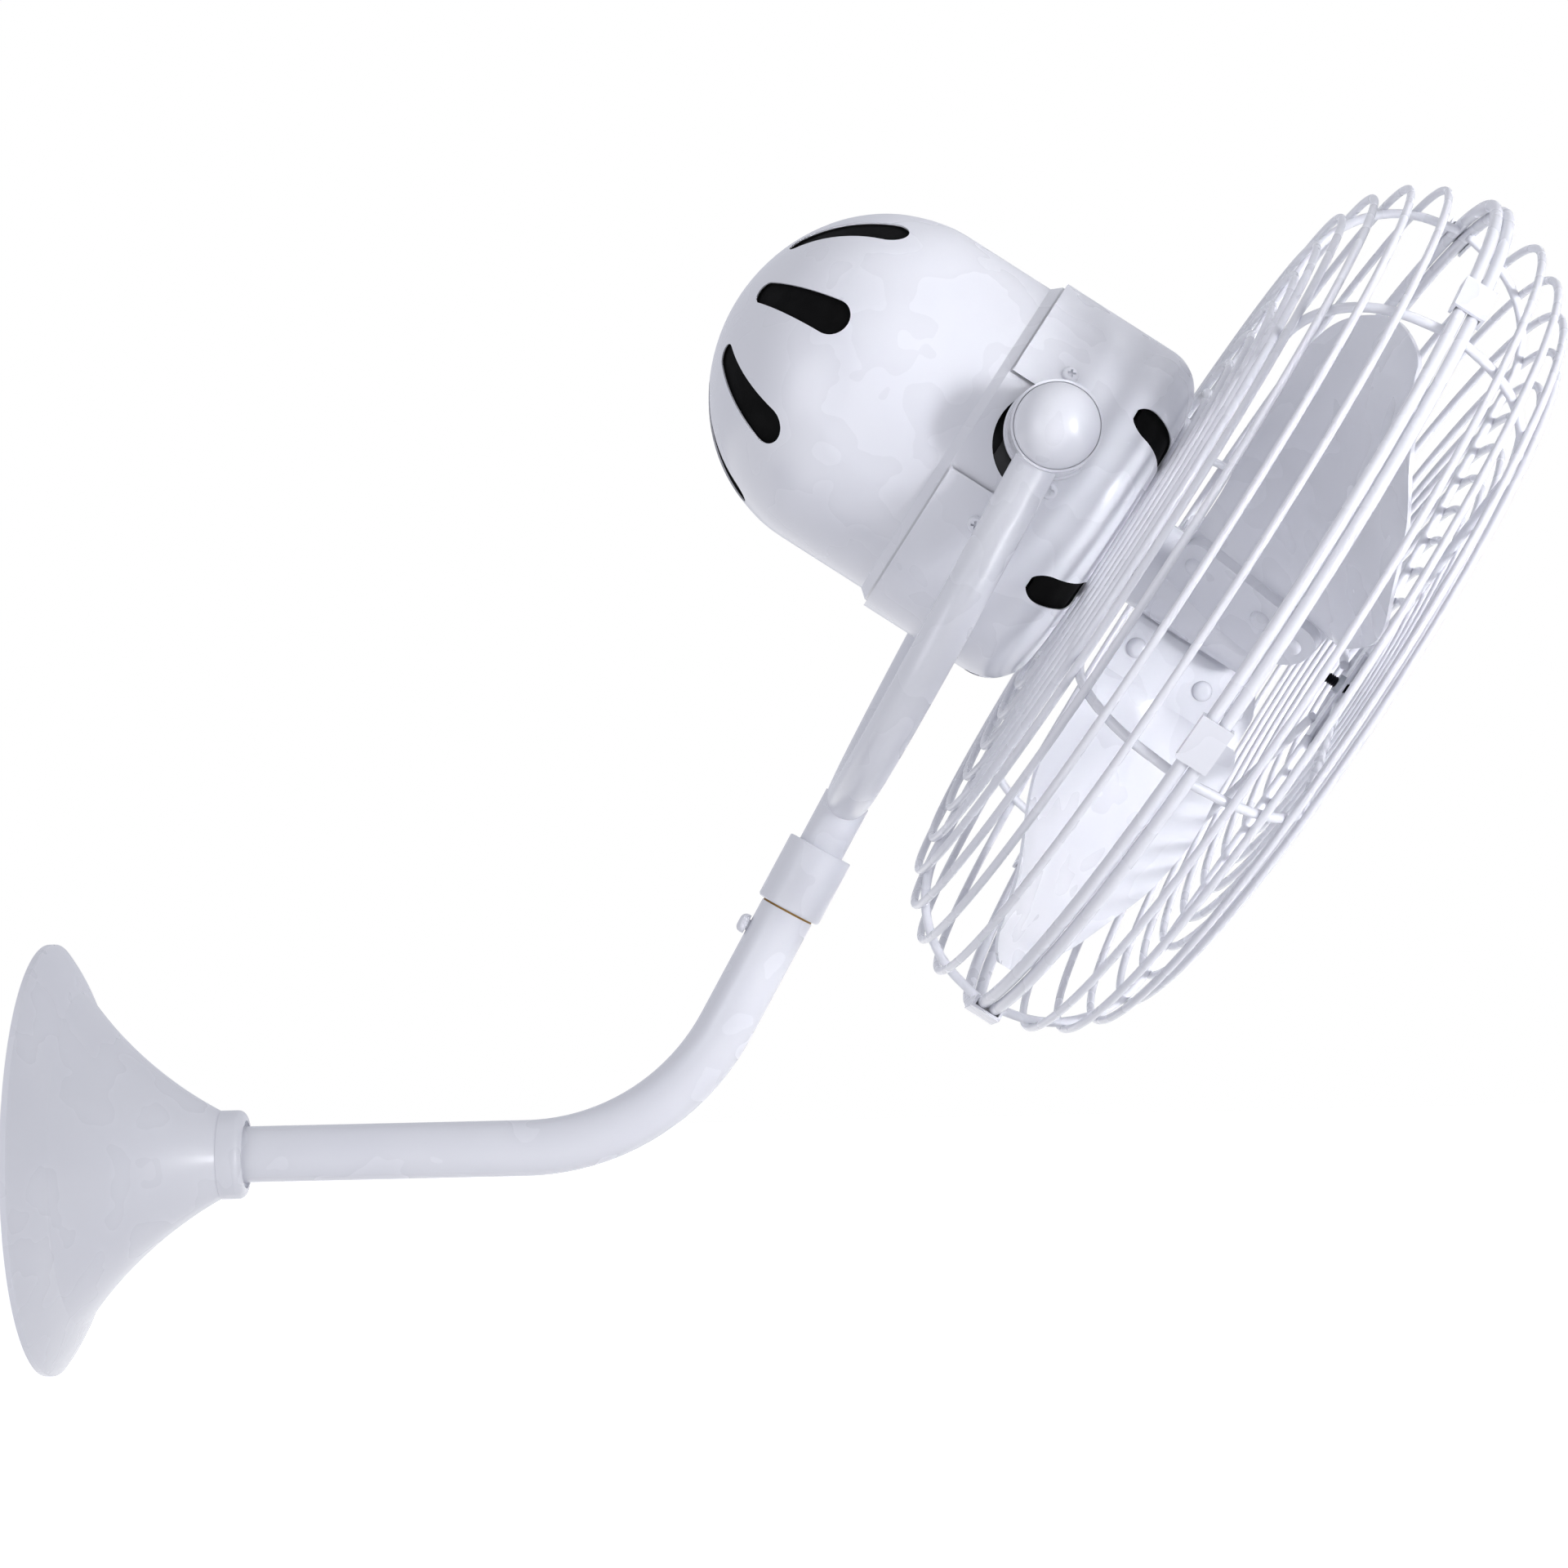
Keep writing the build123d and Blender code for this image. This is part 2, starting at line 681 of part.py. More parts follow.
def dome_side(inset):
    """Points down the dome's side, from the crown's edge to where the straight wall starts."""
    angles = [radians(crown_angle + (90 - crown_angle) * step / 4) for step in range(5)]
    reach = dome_knuckle - inset
    return [(side_reach + reach * sin(angle), dome_round_start - reach * cos(angle)) for angle in angles]


with BuildPart() as dome_shape:
    with BuildSketch(Plane.XZ):
        with BuildLine():
            inner_radius = dome_radius - sheet
            crown_tangent = (cos(radians(crown_angle)), sin(radians(crown_angle)))
            crown_middle = (0, dome_round_start + crown_reach)
            CenterArc(crown_middle, crown_radius, 270, crown_angle)
            Spline(*dome_side(0), tangents=[crown_tangent, (0, 1)])
            Polyline((dome_radius, dome_round_start), (dome_radius, skirt_step_start),
                     (skirt_radius, skirt_start), (skirt_radius, skirt_end),
                     (skirt_radius - sheet, skirt_end), (skirt_radius - sheet, skirt_start),
                     (inner_radius, skirt_step_start), (inner_radius, dome_round_start))
            Spline(*dome_side(sheet), tangents=[crown_tangent, (0, 1)])
            CenterArc(crown_middle, crown_radius - sheet, 270, crown_angle)
            Line((0, dome_round_start - dome_round_length), (0, dome_round_start - dome_round_length + sheet))
        make_face()
    revolve(axis=Axis.Z)
with BuildPart() as rear_dome:
    add(head_face.location * dome_shape.part)
    for index in range(dome_slot_count):
        azimuth = dome_slot_phase + index * 360 / dome_slot_count
        with BuildSketch(on_ray(azimuth, dome_slot_middle, dome_slot_height, -dome_slot_slope)):
            with Locations((dome_slot_length / 2, 0)):
                Circle(dome_slot_front_radius)
            with Locations((-dome_slot_length / 2, 0)):
                Circle(dome_slot_rear_radius)
            make_hull()
        extrude(amount=14, both=True, mode=Mode.SUBTRACT)
    with BuildSketch(head_side):
        with Locations((skirt_hole_forward, skirt_hole_rise)):
            Circle(skirt_hole_radius)
    extrude(amount=dome_radius + 10, both=True, mode=Mode.SUBTRACT)
    for side in (-1, 1):
        for station, height in case_screws:
            azimuth = side * degrees(acos(height / skirt_radius))
            with BuildSketch(on_ray(azimuth, station, skirt_radius - 4)):
                Circle(case_screw_radius + slip_gap)
            extrude(amount=8, mode=Mode.SUBTRACT)
write(rear_dome.part, "rear_dome")

with BuildPart() as screen_shape:
    with BuildSketch(Plane.XZ):
        with BuildLine():
            outer_inset = sheet + screen_gap
            inner_inset = outer_inset + screen_thickness
            CenterArc(crown_middle, crown_radius - outer_inset, 270, crown_angle)
            Spline(*dome_side(outer_inset), tangents=[crown_tangent, (0, 1)])
            Line((dome_radius - outer_inset, dome_round_start), (dome_radius - inner_inset, dome_round_start))
            Spline(*dome_side(inner_inset), tangents=[crown_tangent, (0, 1)])
            CenterArc(crown_middle, crown_radius - inner_inset, 270, crown_angle)
            crown_rear = dome_round_start - dome_round_length
            Line((0, crown_rear + outer_inset), (0, crown_rear + inner_inset))
        make_face()
    revolve(axis=Axis.Z)
with BuildPart() as dome_screen:
    add(head_face.location * screen_shape.part)
write(dome_screen.part, "dome_screen")

# ---------------------------------------------------------------- front drum

inner_outward, inner_radius = bowl_point(first_pitch + (rear_ring_count - 1) * ring_pitch)
drum_length = guard_middle - rim_half_spacing - inner_outward - ring_wire_radius - drum_rear
drum_front = drum_rear + drum_length
drum_face = Plane(origin=head_origin, x_dir=upright, z_dir=forward)
with BuildPart() as front_drum:
    with BuildSketch(drum_face.offset(drum_rear)):
        Circle(drum_radius)
    extrude(amount=drum_length)
    fillet(front_drum.faces().sort_by(motor_axis)[-1].edges(), drum_round)
    offset(amount=-sheet, openings=front_drum.faces().sort_by(motor_axis)[0])
    with BuildSketch(head_face.offset(drum_front - 3 * sheet)):
        Circle(nose_radius + drum_opening_gap)
    extrude(amount=6 * sheet, mode=Mode.SUBTRACT)
    with BuildSketch(head_side):
        with Locations((drum_rear, notch_rise)):
            Rectangle(2 * (notch_end - drum_rear), notch_width)
        with Locations((pivot_ahead, pivot_rise)):
            Circle(trunnion_radius + 1)
    extrude(amount=drum_radius + 5, both=True, mode=Mode.SUBTRACT)
    for index in range(vent_count):
        azimuth = vent_phase + index * 360 / vent_count
        vent_plane = on_ray(azimuth, drum_front - drum_round / 2, drum_radius - drum_round / 2, vent_lean)
        with BuildSketch(vent_plane):
            SlotCenterToCenter(vent_length, vent_round_radius * 2)
        extrude(amount=10, both=True, mode=Mode.SUBTRACT)
    for side in (-1, 1):
        for station, height in case_screws:
            azimuth = side * degrees(acos(height / drum_radius))
            with BuildSketch(on_ray(azimuth, station, drum_radius - 4)):
                Circle(case_screw_radius + slip_gap)
            extrude(amount=8, mode=Mode.SUBTRACT)
    with BuildSketch(head_face.offset(drum_front - 3 * sheet)):
        with PolarLocations(clamp_screw_circle, clamp_count, start_angle=90 + clamp_phase):
            Circle(clamp_screw_radius + slip_gap)
    extrude(amount=6 * sheet, mode=Mode.SUBTRACT)
write(front_drum.part, "front_drum")

with BuildPart() as drum_screen:
    with BuildSketch(head_side):
        with BuildLine():
            round_centre = (drum_front - drum_round, drum_radius - drum_round)
            outer_round = drum_round - sheet - screen_gap
            inner_round = outer_round - screen_thickness
            CenterArc(round_centre, outer_round, 0, 90)
            Line((round_centre[0], round_centre[1] + outer_round), (round_centre[0], round_centre[1] + inner_round))
            CenterArc(round_centre, inner_round, 0, 90)
            Polyline((round_centre[0] + inner_round, round_centre[1]),
                     (round_centre[0] + inner_round, drum_screen_inner),
                     (round_centre[0] + outer_round, drum_screen_inner),
                     (round_centre[0] + outer_round, round_centre[1]))
        make_face()
    revolve(axis=motor_axis)
write(drum_screen.part, "drum_screen")

with BuildPart() as case_screw_set:
    for side in (-1, 1):
        for station, height in case_screws:
            azimuth = side * degrees(acos(height / drum_radius))
            seat = on_ray(azimuth, station, drum_radius + 0.02)
            with BuildSketch(seat):
                Circle(case_screw_radius)
            extrude(amount=-11)
            with BuildSketch(seat):
                Circle(case_screw_head_radius)
            head = extrude(amount=case_screw_head_height)
            fillet(head.faces().sort_by(Axis(seat.origin, seat.z_dir))[-1].edges(), case_screw_head_height * 0.6)
            with BuildSketch(seat.offset(case_screw_head_height)):
                Rectangle(case_screw_head_radius, 0.9, rotation=25)
                Rectangle(case_screw_head_radius, 0.9, rotation=115)
            extrude(amount=-case_screw_head_height * 0.6, mode=Mode.SUBTRACT)
write(case_screw_set.part, "case_screws")

# ---------------------------------------------------------------- motor housing

ring_radius = skirt_radius - sheet - 0.3
bracket_front = bracket_plate_rear + bracket_plate_thickness
with BuildPart() as motor_bracket:
    with BuildSketch(head_face.offset(bracket_rear)):
        Circle(ring_radius)
        Circle(bracket_ring_inner, mode=Mode.SUBTRACT)
    extrude(amount=bracket_front - bracket_rear)
    with BuildSketch(head_face.offset(bracket_plate_rear)):
        Circle(ring_radius)
        with PolarLocations(bracket_window_circle, bracket_window_count, start_angle=90 + bracket_window_phase):
            Circle(bracket_window_radius, mode=Mode.SUBTRACT)
    extrude(amount=bracket_plate_thickness)
    with BuildSketch(head_face.offset(can_joint + 0.2)):
        Circle(can_outer_radius)
        Circle(can_outer_radius - can_wall, mode=Mode.SUBTRACT)
    extrude(amount=bracket_plate_rear - can_joint - 0.2)
    with BuildSketch(head_face.offset(bracket_plate_rear)):
        Circle(nose_radius)
    extrude(amount=nose_end - bracket_plate_rear)
    fillet(motor_bracket.faces().sort_by(motor_axis)[-1].edges(), 1.5)
    with BuildSketch(head_face.offset(bracket_front)):
        with PolarLocations(clamp_screw_circle, clamp_count, start_angle=90 + clamp_phase):
            Circle(clamp_screw_radius + 4)
    extrude(amount=drum_front - sheet - bracket_front)
    with BuildSketch(beside(bracket_ring_inner)):
        Circle(trunnion_radius)
    trunnion = extrude(amount=trunnion_face - bracket_ring_inner)
    mirror(trunnion, about=Plane.XZ)
    with BuildSketch(head_face.offset(bracket_plate_rear - 1)):
        Circle(bearing_inner_radius)
    extrude(amount=nose_end, mode=Mode.SUBTRACT)
    with BuildSketch(head_face.offset(front_bearing_rear)):
        Circle(bearing_outer_radius + running_gap)
    extrude(amount=nose_end, mode=Mode.SUBTRACT)
    with BuildSketch(head_face.offset(drum_front - sheet - 18)):
        with PolarLocations(clamp_screw_circle, clamp_count, start_angle=90 + clamp_phase):
            Circle(clamp_screw_radius + running_gap)
    extrude(amount=18, mode=Mode.SUBTRACT)
    with BuildSketch(beside(bracket_ring_inner - 6)):
        Circle(pivot_radius + running_gap)
    bore = extrude(amount=trunnion_face, mode=Mode.SUBTRACT)
    mirror(bore, about=Plane.XZ, mode=Mode.SUBTRACT)
    with BuildSketch(head_face.offset(bracket_plate_rear - 1)):
        with PolarLocations(tie_bolt_circle, 4, start_angle=45):
            Circle(tie_bolt_radius + running_gap)
    extrude(amount=bracket_plate_thickness + 2, mode=Mode.SUBTRACT)
    for side in (-1, 1):
        for station, height in case_screws:
            azimuth = side * degrees(acos(height / drum_radius))
            with BuildSketch(on_ray(azimuth, station, bracket_ring_inner - 4)):
                Circle(case_screw_radius + running_gap)
            extrude(amount=20, mode=Mode.SUBTRACT)
write(motor_bracket.part, "motor_bracket")

with BuildPart() as rear_end_shield:
    with BuildSketch(head_face.offset(shield_rear)):
        Circle(shield_radius)
    extrude(amount=shield_thickness)
    with BuildSketch(head_face.offset(shield_rear + shield_thickness)):
        Circle(can_outer_radius)
        Circle(can_outer_radius - can_wall, mode=Mode.SUBTRACT)
    extrude(amount=can_joint - shield_rear - shield_thickness)
    with BuildSketch(head_face.offset(shield_boss_rear)):
        Circle(shield_boss_radius)
    extrude(amount=shield_rear - shield_boss_rear)
    with BuildSketch(head_face.offset(rear_bearing_rear)):
        Circle(bearing_outer_radius + running_gap)
    extrude(amount=bearing_width, mode=Mode.SUBTRACT)
    with BuildSketch(head_face.offset(rear_bearing_rear)):
        Circle(bearing_inner_radius)
    extrude(amount=shield_rear + shield_thickness - rear_bearing_rear, mode=Mode.SUBTRACT)
    with BuildSketch(head_face.offset(shield_rear)):
        with PolarLocations(tie_bolt_circle, 4, start_angle=45):
            Circle(tie_bolt_radius + slip_gap)
        with PolarLocations(38, 8, start_angle=22.5):
            Circle(5)
    extrude(amount=shield_thickness, mode=Mode.SUBTRACT)
write(rear_end_shield.part, "rear_end_shield")

with BuildPart() as tie_bolts:
    with BuildSketch(head_face.offset(shield_rear)):
        with PolarLocations(tie_bolt_circle, 4, start_angle=45):
            Circle(tie_bolt_radius)
    extrude(amount=bracket_front - shield_rear)
    with BuildSketch(head_face.offset(shield_rear)):
        with PolarLocations(tie_bolt_circle, 4, start_angle=45):
            RegularPolygon(tie_bolt_head_radius, 6)
    extrude(amount=-tie_bolt_head_height)
write(tie_bolts.part, "tie_bolts")

for name, station in (("front_bearing", front_bearing_rear), ("rear_bearing", rear_bearing_rear)):
    with BuildPart() as bearing:
        with BuildSketch(head_face.offset(station)):
            Circle(bearing_outer_radius)
            Circle(shaft_radius + running_gap, mode=Mode.SUBTRACT)
        extrude(amount=bearing_width)
        for end, inward in ((station, 0.8), (station + bearing_width, -0.8)):
            with BuildSketch(head_face.offset(end)):
                Circle(bearing_outer_radius - 2.5)
                Circle(shaft_radius + 2.2, mode=Mode.SUBTRACT)
            extrude(amount=inward, mode=Mode.SUBTRACT)
    write(bearing.part, name)

stator_length = stator_front - stator_rear
stator_bore = rotor_radius + air_gap
slot_length = 11
slot_middle = stator_bore + 2 + slot_length / 2
with BuildPart() as stator_core:
    with BuildSketch(head_face.offset(stator_rear)):
        Circle(can_outer_radius - can_wall - running_gap)
        Circle(stator_bore, mode=Mode.SUBTRACT)
        with PolarLocations(slot_middle, stator_slot_count):
            SlotOverall(slot_length, 4, mode=Mode.SUBTRACT)
    extrude(amount=stator_length)
write(stator_core.part, "stator_core")

with BuildPart() as windings:
    with BuildSketch(head_face.offset(stator_rear - 2)):
        with PolarLocations(slot_middle, stator_slot_count):
            SlotOverall(slot_length - 0.6, 3.4)
    extrude(amount=stator_length + 4)
    for start in (stator_rear - winding_length, stator_front + 0.5):
        with BuildSketch(head_side):
            with Locations((start + (winding_length - 0.5) / 2, (winding_inner + winding_outer) / 2)):
                RectangleRounded(winding_length - 0.5, winding_outer - winding_inner, winding_round)
        revolve(axis=motor_axis)
write(windings.part, "windings")

with BuildPart() as capacitor:
    depth, tall, wide = capacitor_size
    with BuildSketch(head_face.offset(shield_rear)):
        with Locations((0, capacitor_rise)):
            RectangleRounded(wide, tall, 2)
    extrude(amount=-depth)
write(capacitor.part, "capacitor")

# ---------------------------------------------------------------- shaft, rotor core and hub

with BuildPart() as motor_shaft:
    with BuildSketch(head_face.offset(shaft_rear)):
        Circle(shaft_radius)
    extrude(amount=hub_bore_end - 1 - shaft_rear)
    with BuildSketch(ray(hub_grub_azimuth).offset(0)):
        with Locations((hub_grub_forward, shaft_radius)):
            Rectangle(16, 1.6)
    extrude(amount=shaft_radius, both=True, mode=Mode.SUBTRACT)
write(motor_shaft.part, "motor_shaft")

with BuildPart() as rotor_core:
    with BuildSketch(head_face.offset(stator_rear)):
        Circle(rotor_radius)
    extrude(amount=stator_length)
    with BuildSketch(head_face.offset(stator_rear - rotor_ring_length)):
        Circle(rotor_ring_outer)
        Circle(rotor_ring_inner, mode=Mode.SUBTRACT)
    extrude(amount=stator_length + 2 * rotor_ring_length)
    with BuildSketch(head_face.offset(stator_rear)):
        Circle(shaft_radius + running_gap / 2)
    extrude(amount=stator_length, mode=Mode.SUBTRACT)
write(rotor_core.part, "rotor_core")


def blade_plane(azimuth, radius, pitch, sideways, ahead):
    """Section plane of a blade: x along the chord to the front edge, y to the front side."""
    half_plane = ray(azimuth)
    middle = half_plane.from_local_coords((guard_middle + ahead, radius, sideways))
    chord_line = half_plane.z_dir * cos(radians(pitch)) + half_plane.x_dir * sin(radians(pitch))
    return Plane(origin=middle, x_dir=chord_line, z_dir=half_plane.y_dir)


blade_azimuths = [blade_phase + index * 360 / blade_count for index in range(blade_count)]
with BuildPart() as fan_hub:
    with BuildSketch(head_face.offset(hub_rear)):
        Circle(hub_radius)
    extrude(amount=hub_front - hub_rear)
    fillet(fan_hub.faces().sort_by(motor_axis)[-1].edges(), hub_round)
    fillet(fan_hub.faces().sort_by(motor_axis)[0].edges(), 1)
    for azimuth in blade_azimuths:
        pad_plane = blade_plane(azimuth, pad_start, root_pitch, pad_sideways, pad_middle - guard_middle)
        with BuildSketch(pad_plane):
            with Locations((0, -pad_thickness / 2)):
                Rectangle(root_chord - 1, pad_thickness)
        pad = extrude(amount=pad_end - pad_start, mode=Mode.PRIVATE)
        corner_edges = pad.edges().filter_by(Axis(pad_plane.origin, pad_plane.y_dir))
        outer_edges = corner_edges.sort_by(Axis(pad_plane.origin, pad_plane.z_dir))[-2:]
        pad = pad.fillet(pad_corner, outer_edges)
        corner_edges = pad.edges().filter_by(Axis(pad_plane.origin, pad_plane.y_dir))
        inner_edges = corner_edges.sort_by(Axis(pad_plane.origin, pad_plane.z_dir))[:2]
        pad = pad.fillet(pad_inner_corner, inner_edges.sort_by(Axis(pad_plane.origin, pad_plane.x_dir))[-1:])
        add(pad)
    with BuildSketch(head_face.offset(hub_rear)):
        Circle(shaft_radius + running_gap / 2)
    extrude(amount=hub_bore_end - hub_rear, mode=Mode.SUBTRACT)
    with BuildSketch(on_ray(hub_grub_azimuth, hub_grub_forward, shaft_radius - 1)):
        Circle(grub_radius + running_gap)
    extrude(amount=hub_radius, mode=Mode.SUBTRACT)
    for azimuth in blade_azimuths:
        rivet_plane = blade_plane(azimuth, rivet_circle, root_pitch, pad_sideways, pad_middle - guard_middle)
        across = Plane(origin=rivet_plane.origin, x_dir=rivet_plane.x_dir, z_dir=rivet_plane.y_dir)
        with BuildSketch(across.offset(-pad_thickness - 1)):
            with Locations(*[(place, 0) for place in rivet_places]):
                Circle(rivet_radius + running_gap)
        extrude(amount=pad_thickness + 2, mode=Mode.SUBTRACT)
write(fan_hub.part, "fan_hub")

with BuildPart() as hub_grub:
    with BuildSketch(on_ray(hub_grub_azimuth, hub_grub_forward, shaft_radius - 0.75)):
        Circle(grub_radius)
    extrude(amount=hub_radius - shaft_radius - 2)
    with BuildSketch(on_ray(hub_grub_azimuth, hub_grub_forward, hub_radius - 2.75)):
        RegularPolygon(1.6, 6)
    extrude(amount=-3, mode=Mode.SUBTRACT)
write(hub_grub.part, "hub_grub")

# ---------------------------------------------------------------- blades and rivets

with BuildPart() as paddle:
    for radius, chord_length, pitch, sideways, ahead, camber in blade_stations:
        half = chord_length / 2
        with BuildSketch(blade_plane(blade_azimuths[0], radius, pitch, sideways, ahead)):
            with BuildLine():
                Spline((-half, 0), (-half / 2, -camber * 0.75), (0, -camber), (half / 2, -camber * 0.75), (half, 0))
                Line((half, 0), (half, blade_sheet))
                Spline((half, blade_sheet), (half / 2, blade_sheet - camber * 0.75), (0, blade_sheet - camber),
                       (-half / 2, blade_sheet - camber * 0.75), (-half, blade_sheet))
                Line((-half, blade_sheet), (-half, 0))
            make_face()
    loft()
    root_radius, root_length, pitch, sideways, ahead, camber = blade_stations[0]
    root_plane = blade_plane(blade_azimuths[0], root_start, pitch, sideways, ahead)
    with BuildSketch(root_plane):
        with Locations((0, blade_sheet / 2)):
            Rectangle(root_length, blade_sheet)
    root = extrude(amount=root_radius - root_start, mode=Mode.PRIVATE)
    corner_edges = root.edges().filter_by(Axis(root_plane.origin, root_plane.y_dir))
    inner_edges = corner_edges.sort_by(Axis(root_plane.origin, root_plane.z_dir))[:2]
    add(root.fillet(root_corner, inner_edges.sort_by(Axis(root_plane.origin, root_plane.x_dir))[-1:]))
    across = Plane(origin=root_plane.origin, x_dir=root_plane.x_dir, z_dir=root_plane.y_dir)
    rivet_row = root_plane.z_dir * (rivet_circle - root_start)
    with BuildSketch(Plane(origin=across.origin + rivet_row, x_dir=across.x_dir, z_dir=across.z_dir)):
        with Locations(*[(place, 0) for place in rivet_places]):
            Circle(rivet_radius + running_gap)
    extrude(amount=blade_sheet * 2, both=True, mode=Mode.SUBTRACT)
for index in range(blade_count):
    with BuildPart() as blade:
        add(paddle.part.rotate(motor_axis, index * 360 / blade_count))
    write(blade.part, f"blade_{index + 1}")

with BuildPart() as blade_rivets:
    for azimuth in blade_azimuths:
        rivet_plane = blade_plane(azimuth, rivet_circle, root_pitch, pad_sideways, pad_middle - guard_middle)
        across = Plane(origin=rivet_plane.origin, x_dir=rivet_plane.x_dir, z_dir=rivet_plane.y_dir)
        with BuildSketch(across.offset(-pad_thickness)):
            with Locations(*[(place, 0) for place in rivet_places]):
                Circle(rivet_radius)
        extrude(amount=pad_thickness + blade_sheet)
        for face, direction in ((-pad_thickness, -1), (blade_sheet, 1)):
            with BuildSketch(across.offset(face)):
                with Locations(*[(place, 0) for place in rivet_places]):
                    Circle(rivet_head_radius)
            heads = extrude(amount=direction * rivet_head_height)
            ends = heads.faces().filter_by(across).sort_by(Axis(across.origin, across.z_dir * direction))[-3:]
            fillet(ends.edges(), rivet_head_height - 0.1)
write(blade_rivets.part, "blade_rivets")

# ---------------------------------------------------------------- wire guards


rib_inset = ring_wire_radius + rib_wire_radius - weld_depth
bowl_arc = bowl_round * radians(90 - bowl_taper - bowl_slope)
guards = (("rear_guard", -1, rear_ring_count), ("front_guard", 1, front_ring_count))
for name, side, ring_count in guards:
    rim_station = guard_middle + side * rim_half_spacing
    lengths = [first_pitch + index * ring_pitch for index in range(ring_count)]
    rib_length = lengths[-1] + ring_wire_radius + 1
    with BuildPart() as guard:
        with BuildSketch(head_side):
            with Locations((rim_station, rim_radius)):
                Circle(rim_wire_radius)
        revolve(axis=motor_axis)
        for length in lengths:
            outward, radius = bowl_point(length)
            with BuildSketch(head_side):
                with Locations((rim_station + side * outward, radius)):
                    Circle(ring_wire_radius)
            revolve(axis=motor_axis)
        for index in range(rib_count):
            half_plane = ray(rib_phase + index * 360 / rib_count)
            stops = (0, bowl_wall, bowl_wall + bowl_arc / 2, bowl_wall + bowl_arc, rib_length)
            profile = [bowl_point(stop, rib_inset) for stop in stops]
            points = [(rim_station + side * outward, radius) for outward, radius in profile]
            with BuildLine(half_plane) as rib_path:
                Line(points[0], points[1])
                ThreePointArc(points[1], points[2], points[3])
                Line(points[3], points[4])
            with BuildSketch(Plane(origin=rib_path.line @ 0, z_dir=rib_path.line % 0)):
                Circle(rib_wire_radius)
            sweep(path=rib_path.line)
    write(guard.part, name)

clip_inner_half = rim_half_spacing + rim_wire_radius + clip_gap
clip_outer_half = clip_inner_half + clip_sheet
clip_floor = rim_radius + rim_wire_radius + clip_gap
clip_arc = degrees(clip_length / rim_radius)
with BuildPart() as guard_clips:
    for index in range(rib_count):
        half_plane = ray(clip_phase + index * 360 / rib_count - clip_arc / 2)
        with BuildSketch(half_plane):
            with BuildLine():
                near = guard_middle - clip_outer_half
                far = guard_middle + clip_outer_half
                foot = rim_radius - clip_reach
                Polyline((near, foot), (near, clip_floor + clip_sheet), (far, clip_floor + clip_sheet),
                         (far, foot), (far - clip_sheet, foot), (far - clip_sheet, clip_floor),
                         (near + clip_sheet, clip_floor), (near + clip_sheet, foot), (near, foot))
            make_face()
        revolve(axis=motor_axis, revolution_arc=clip_arc)
write(guard_clips.part, "guard_clips")

# ---------------------------------------------------------------- guard clamps

ring_back = drum_front
ring_front = drum_front + 2 * ring_wire_radius
clamp_step = inner_radius - ring_wire_radius - 0.3
clamp_azimuths = [clamp_phase + index * 360 / clamp_count for index in range(clamp_count)]
with BuildPart() as guard_clamps:
    for azimuth in clamp_azimuths:
        with BuildSketch(ray(azimuth).offset(-clamp_width / 2)):
            with BuildLine():
                lip_back = ring_front + 0.2
                lip_front = lip_back + clamp_lip
                Polyline((ring_back, clamp_inner), (ring_back, clamp_step), (lip_back, clamp_step),
                         (lip_back, inner_radius + 2), (lip_front, inner_radius + 2),
                         (lip_front, clamp_inner), (ring_back, clamp_inner))
            make_face()
        extrude(amount=clamp_width)
        with BuildSketch(Plane(origin=ray(azimuth).from_local_coords((ring_back - 1, clamp_screw_circle, 0)),
                               z_dir=forward)):
            Circle(clamp_screw_radius + slip_gap)
        extrude(amount=10, mode=Mode.SUBTRACT)
write(guard_clamps.part, "guard_clamps")

with BuildPart() as clamp_screws:
    for azimuth in clamp_azimuths:
        seat = Plane(origin=ray(azimuth).from_local_coords((lip_front, clamp_screw_circle, 0)), z_dir=forward)
        with BuildSketch(seat):
            Circle(clamp_screw_radius)
        extrude(amount=-18)
        with BuildSketch(seat):
            Circle(clamp_screw_head_radius)
        head = extrude(amount=clamp_screw_head_height)
        fillet(head.faces().sort_by(motor_axis)[-1].edges(), 1.4)
        with BuildSketch(seat.offset(clamp_screw_head_height)):
            Rectangle(2 * clamp_screw_head_radius - 2, 1)
            Rectangle(1, 2 * clamp_screw_head_radius - 2)
        extrude(amount=-1.6, mode=Mode.SUBTRACT)
write(clamp_screws.part, "clamp_screws")

# ---------------------------------------------------------------- badge

front_wires = guard_middle + rim_half_spacing + bowl_point(first_pitch + (front_ring_count - 1) * ring_pitch)[0]
strap_front = front_wires - ring_wire_radius - face_gap
badge_back = front_wires + ring_wire_radius + face_gap
with BuildPart() as badge:
    with BuildSketch(head_face.offset(badge_back)):
        Circle(badge_radius)
    extrude(amount=badge_rim)
    fillet(badge.faces().sort_by(motor_axis)[-1].edges(), 1.3)
    with BuildSketch(head_face.offset(badge_back)):
        Circle(badge_radius - 1.5)
        Circle(badge_stud_radius + 2, mode=Mode.SUBTRACT)
    extrude(amount=badge_rim - badge_sheet, mode=Mode.SUBTRACT)
write(badge.part, "badge")

with BuildPart() as badge_strap:
    strap_line = ray(clamp_phase).y_dir
    with BuildSketch(Plane(origin=head_origin, x_dir=strap_line, z_dir=forward).offset(strap_front)):
        SlotOverall(2 * badge_radius, strap_width)
        Circle(badge_stud_radius + running_gap, mode=Mode.SUBTRACT)
    extrude(amount=-strap_thickness)
write(badge_strap.part, "badge_strap")

with BuildPart() as badge_nut:
    with BuildSketch(head_face.offset(strap_front - strap_thickness)):
        RegularPolygon(badge_nut_radius, 6)
        Circle(badge_stud_radius + running_gap, mode=Mode.SUBTRACT)
    extrude(amount=-badge_nut_height)
write(badge_nut.part, "badge_nut")

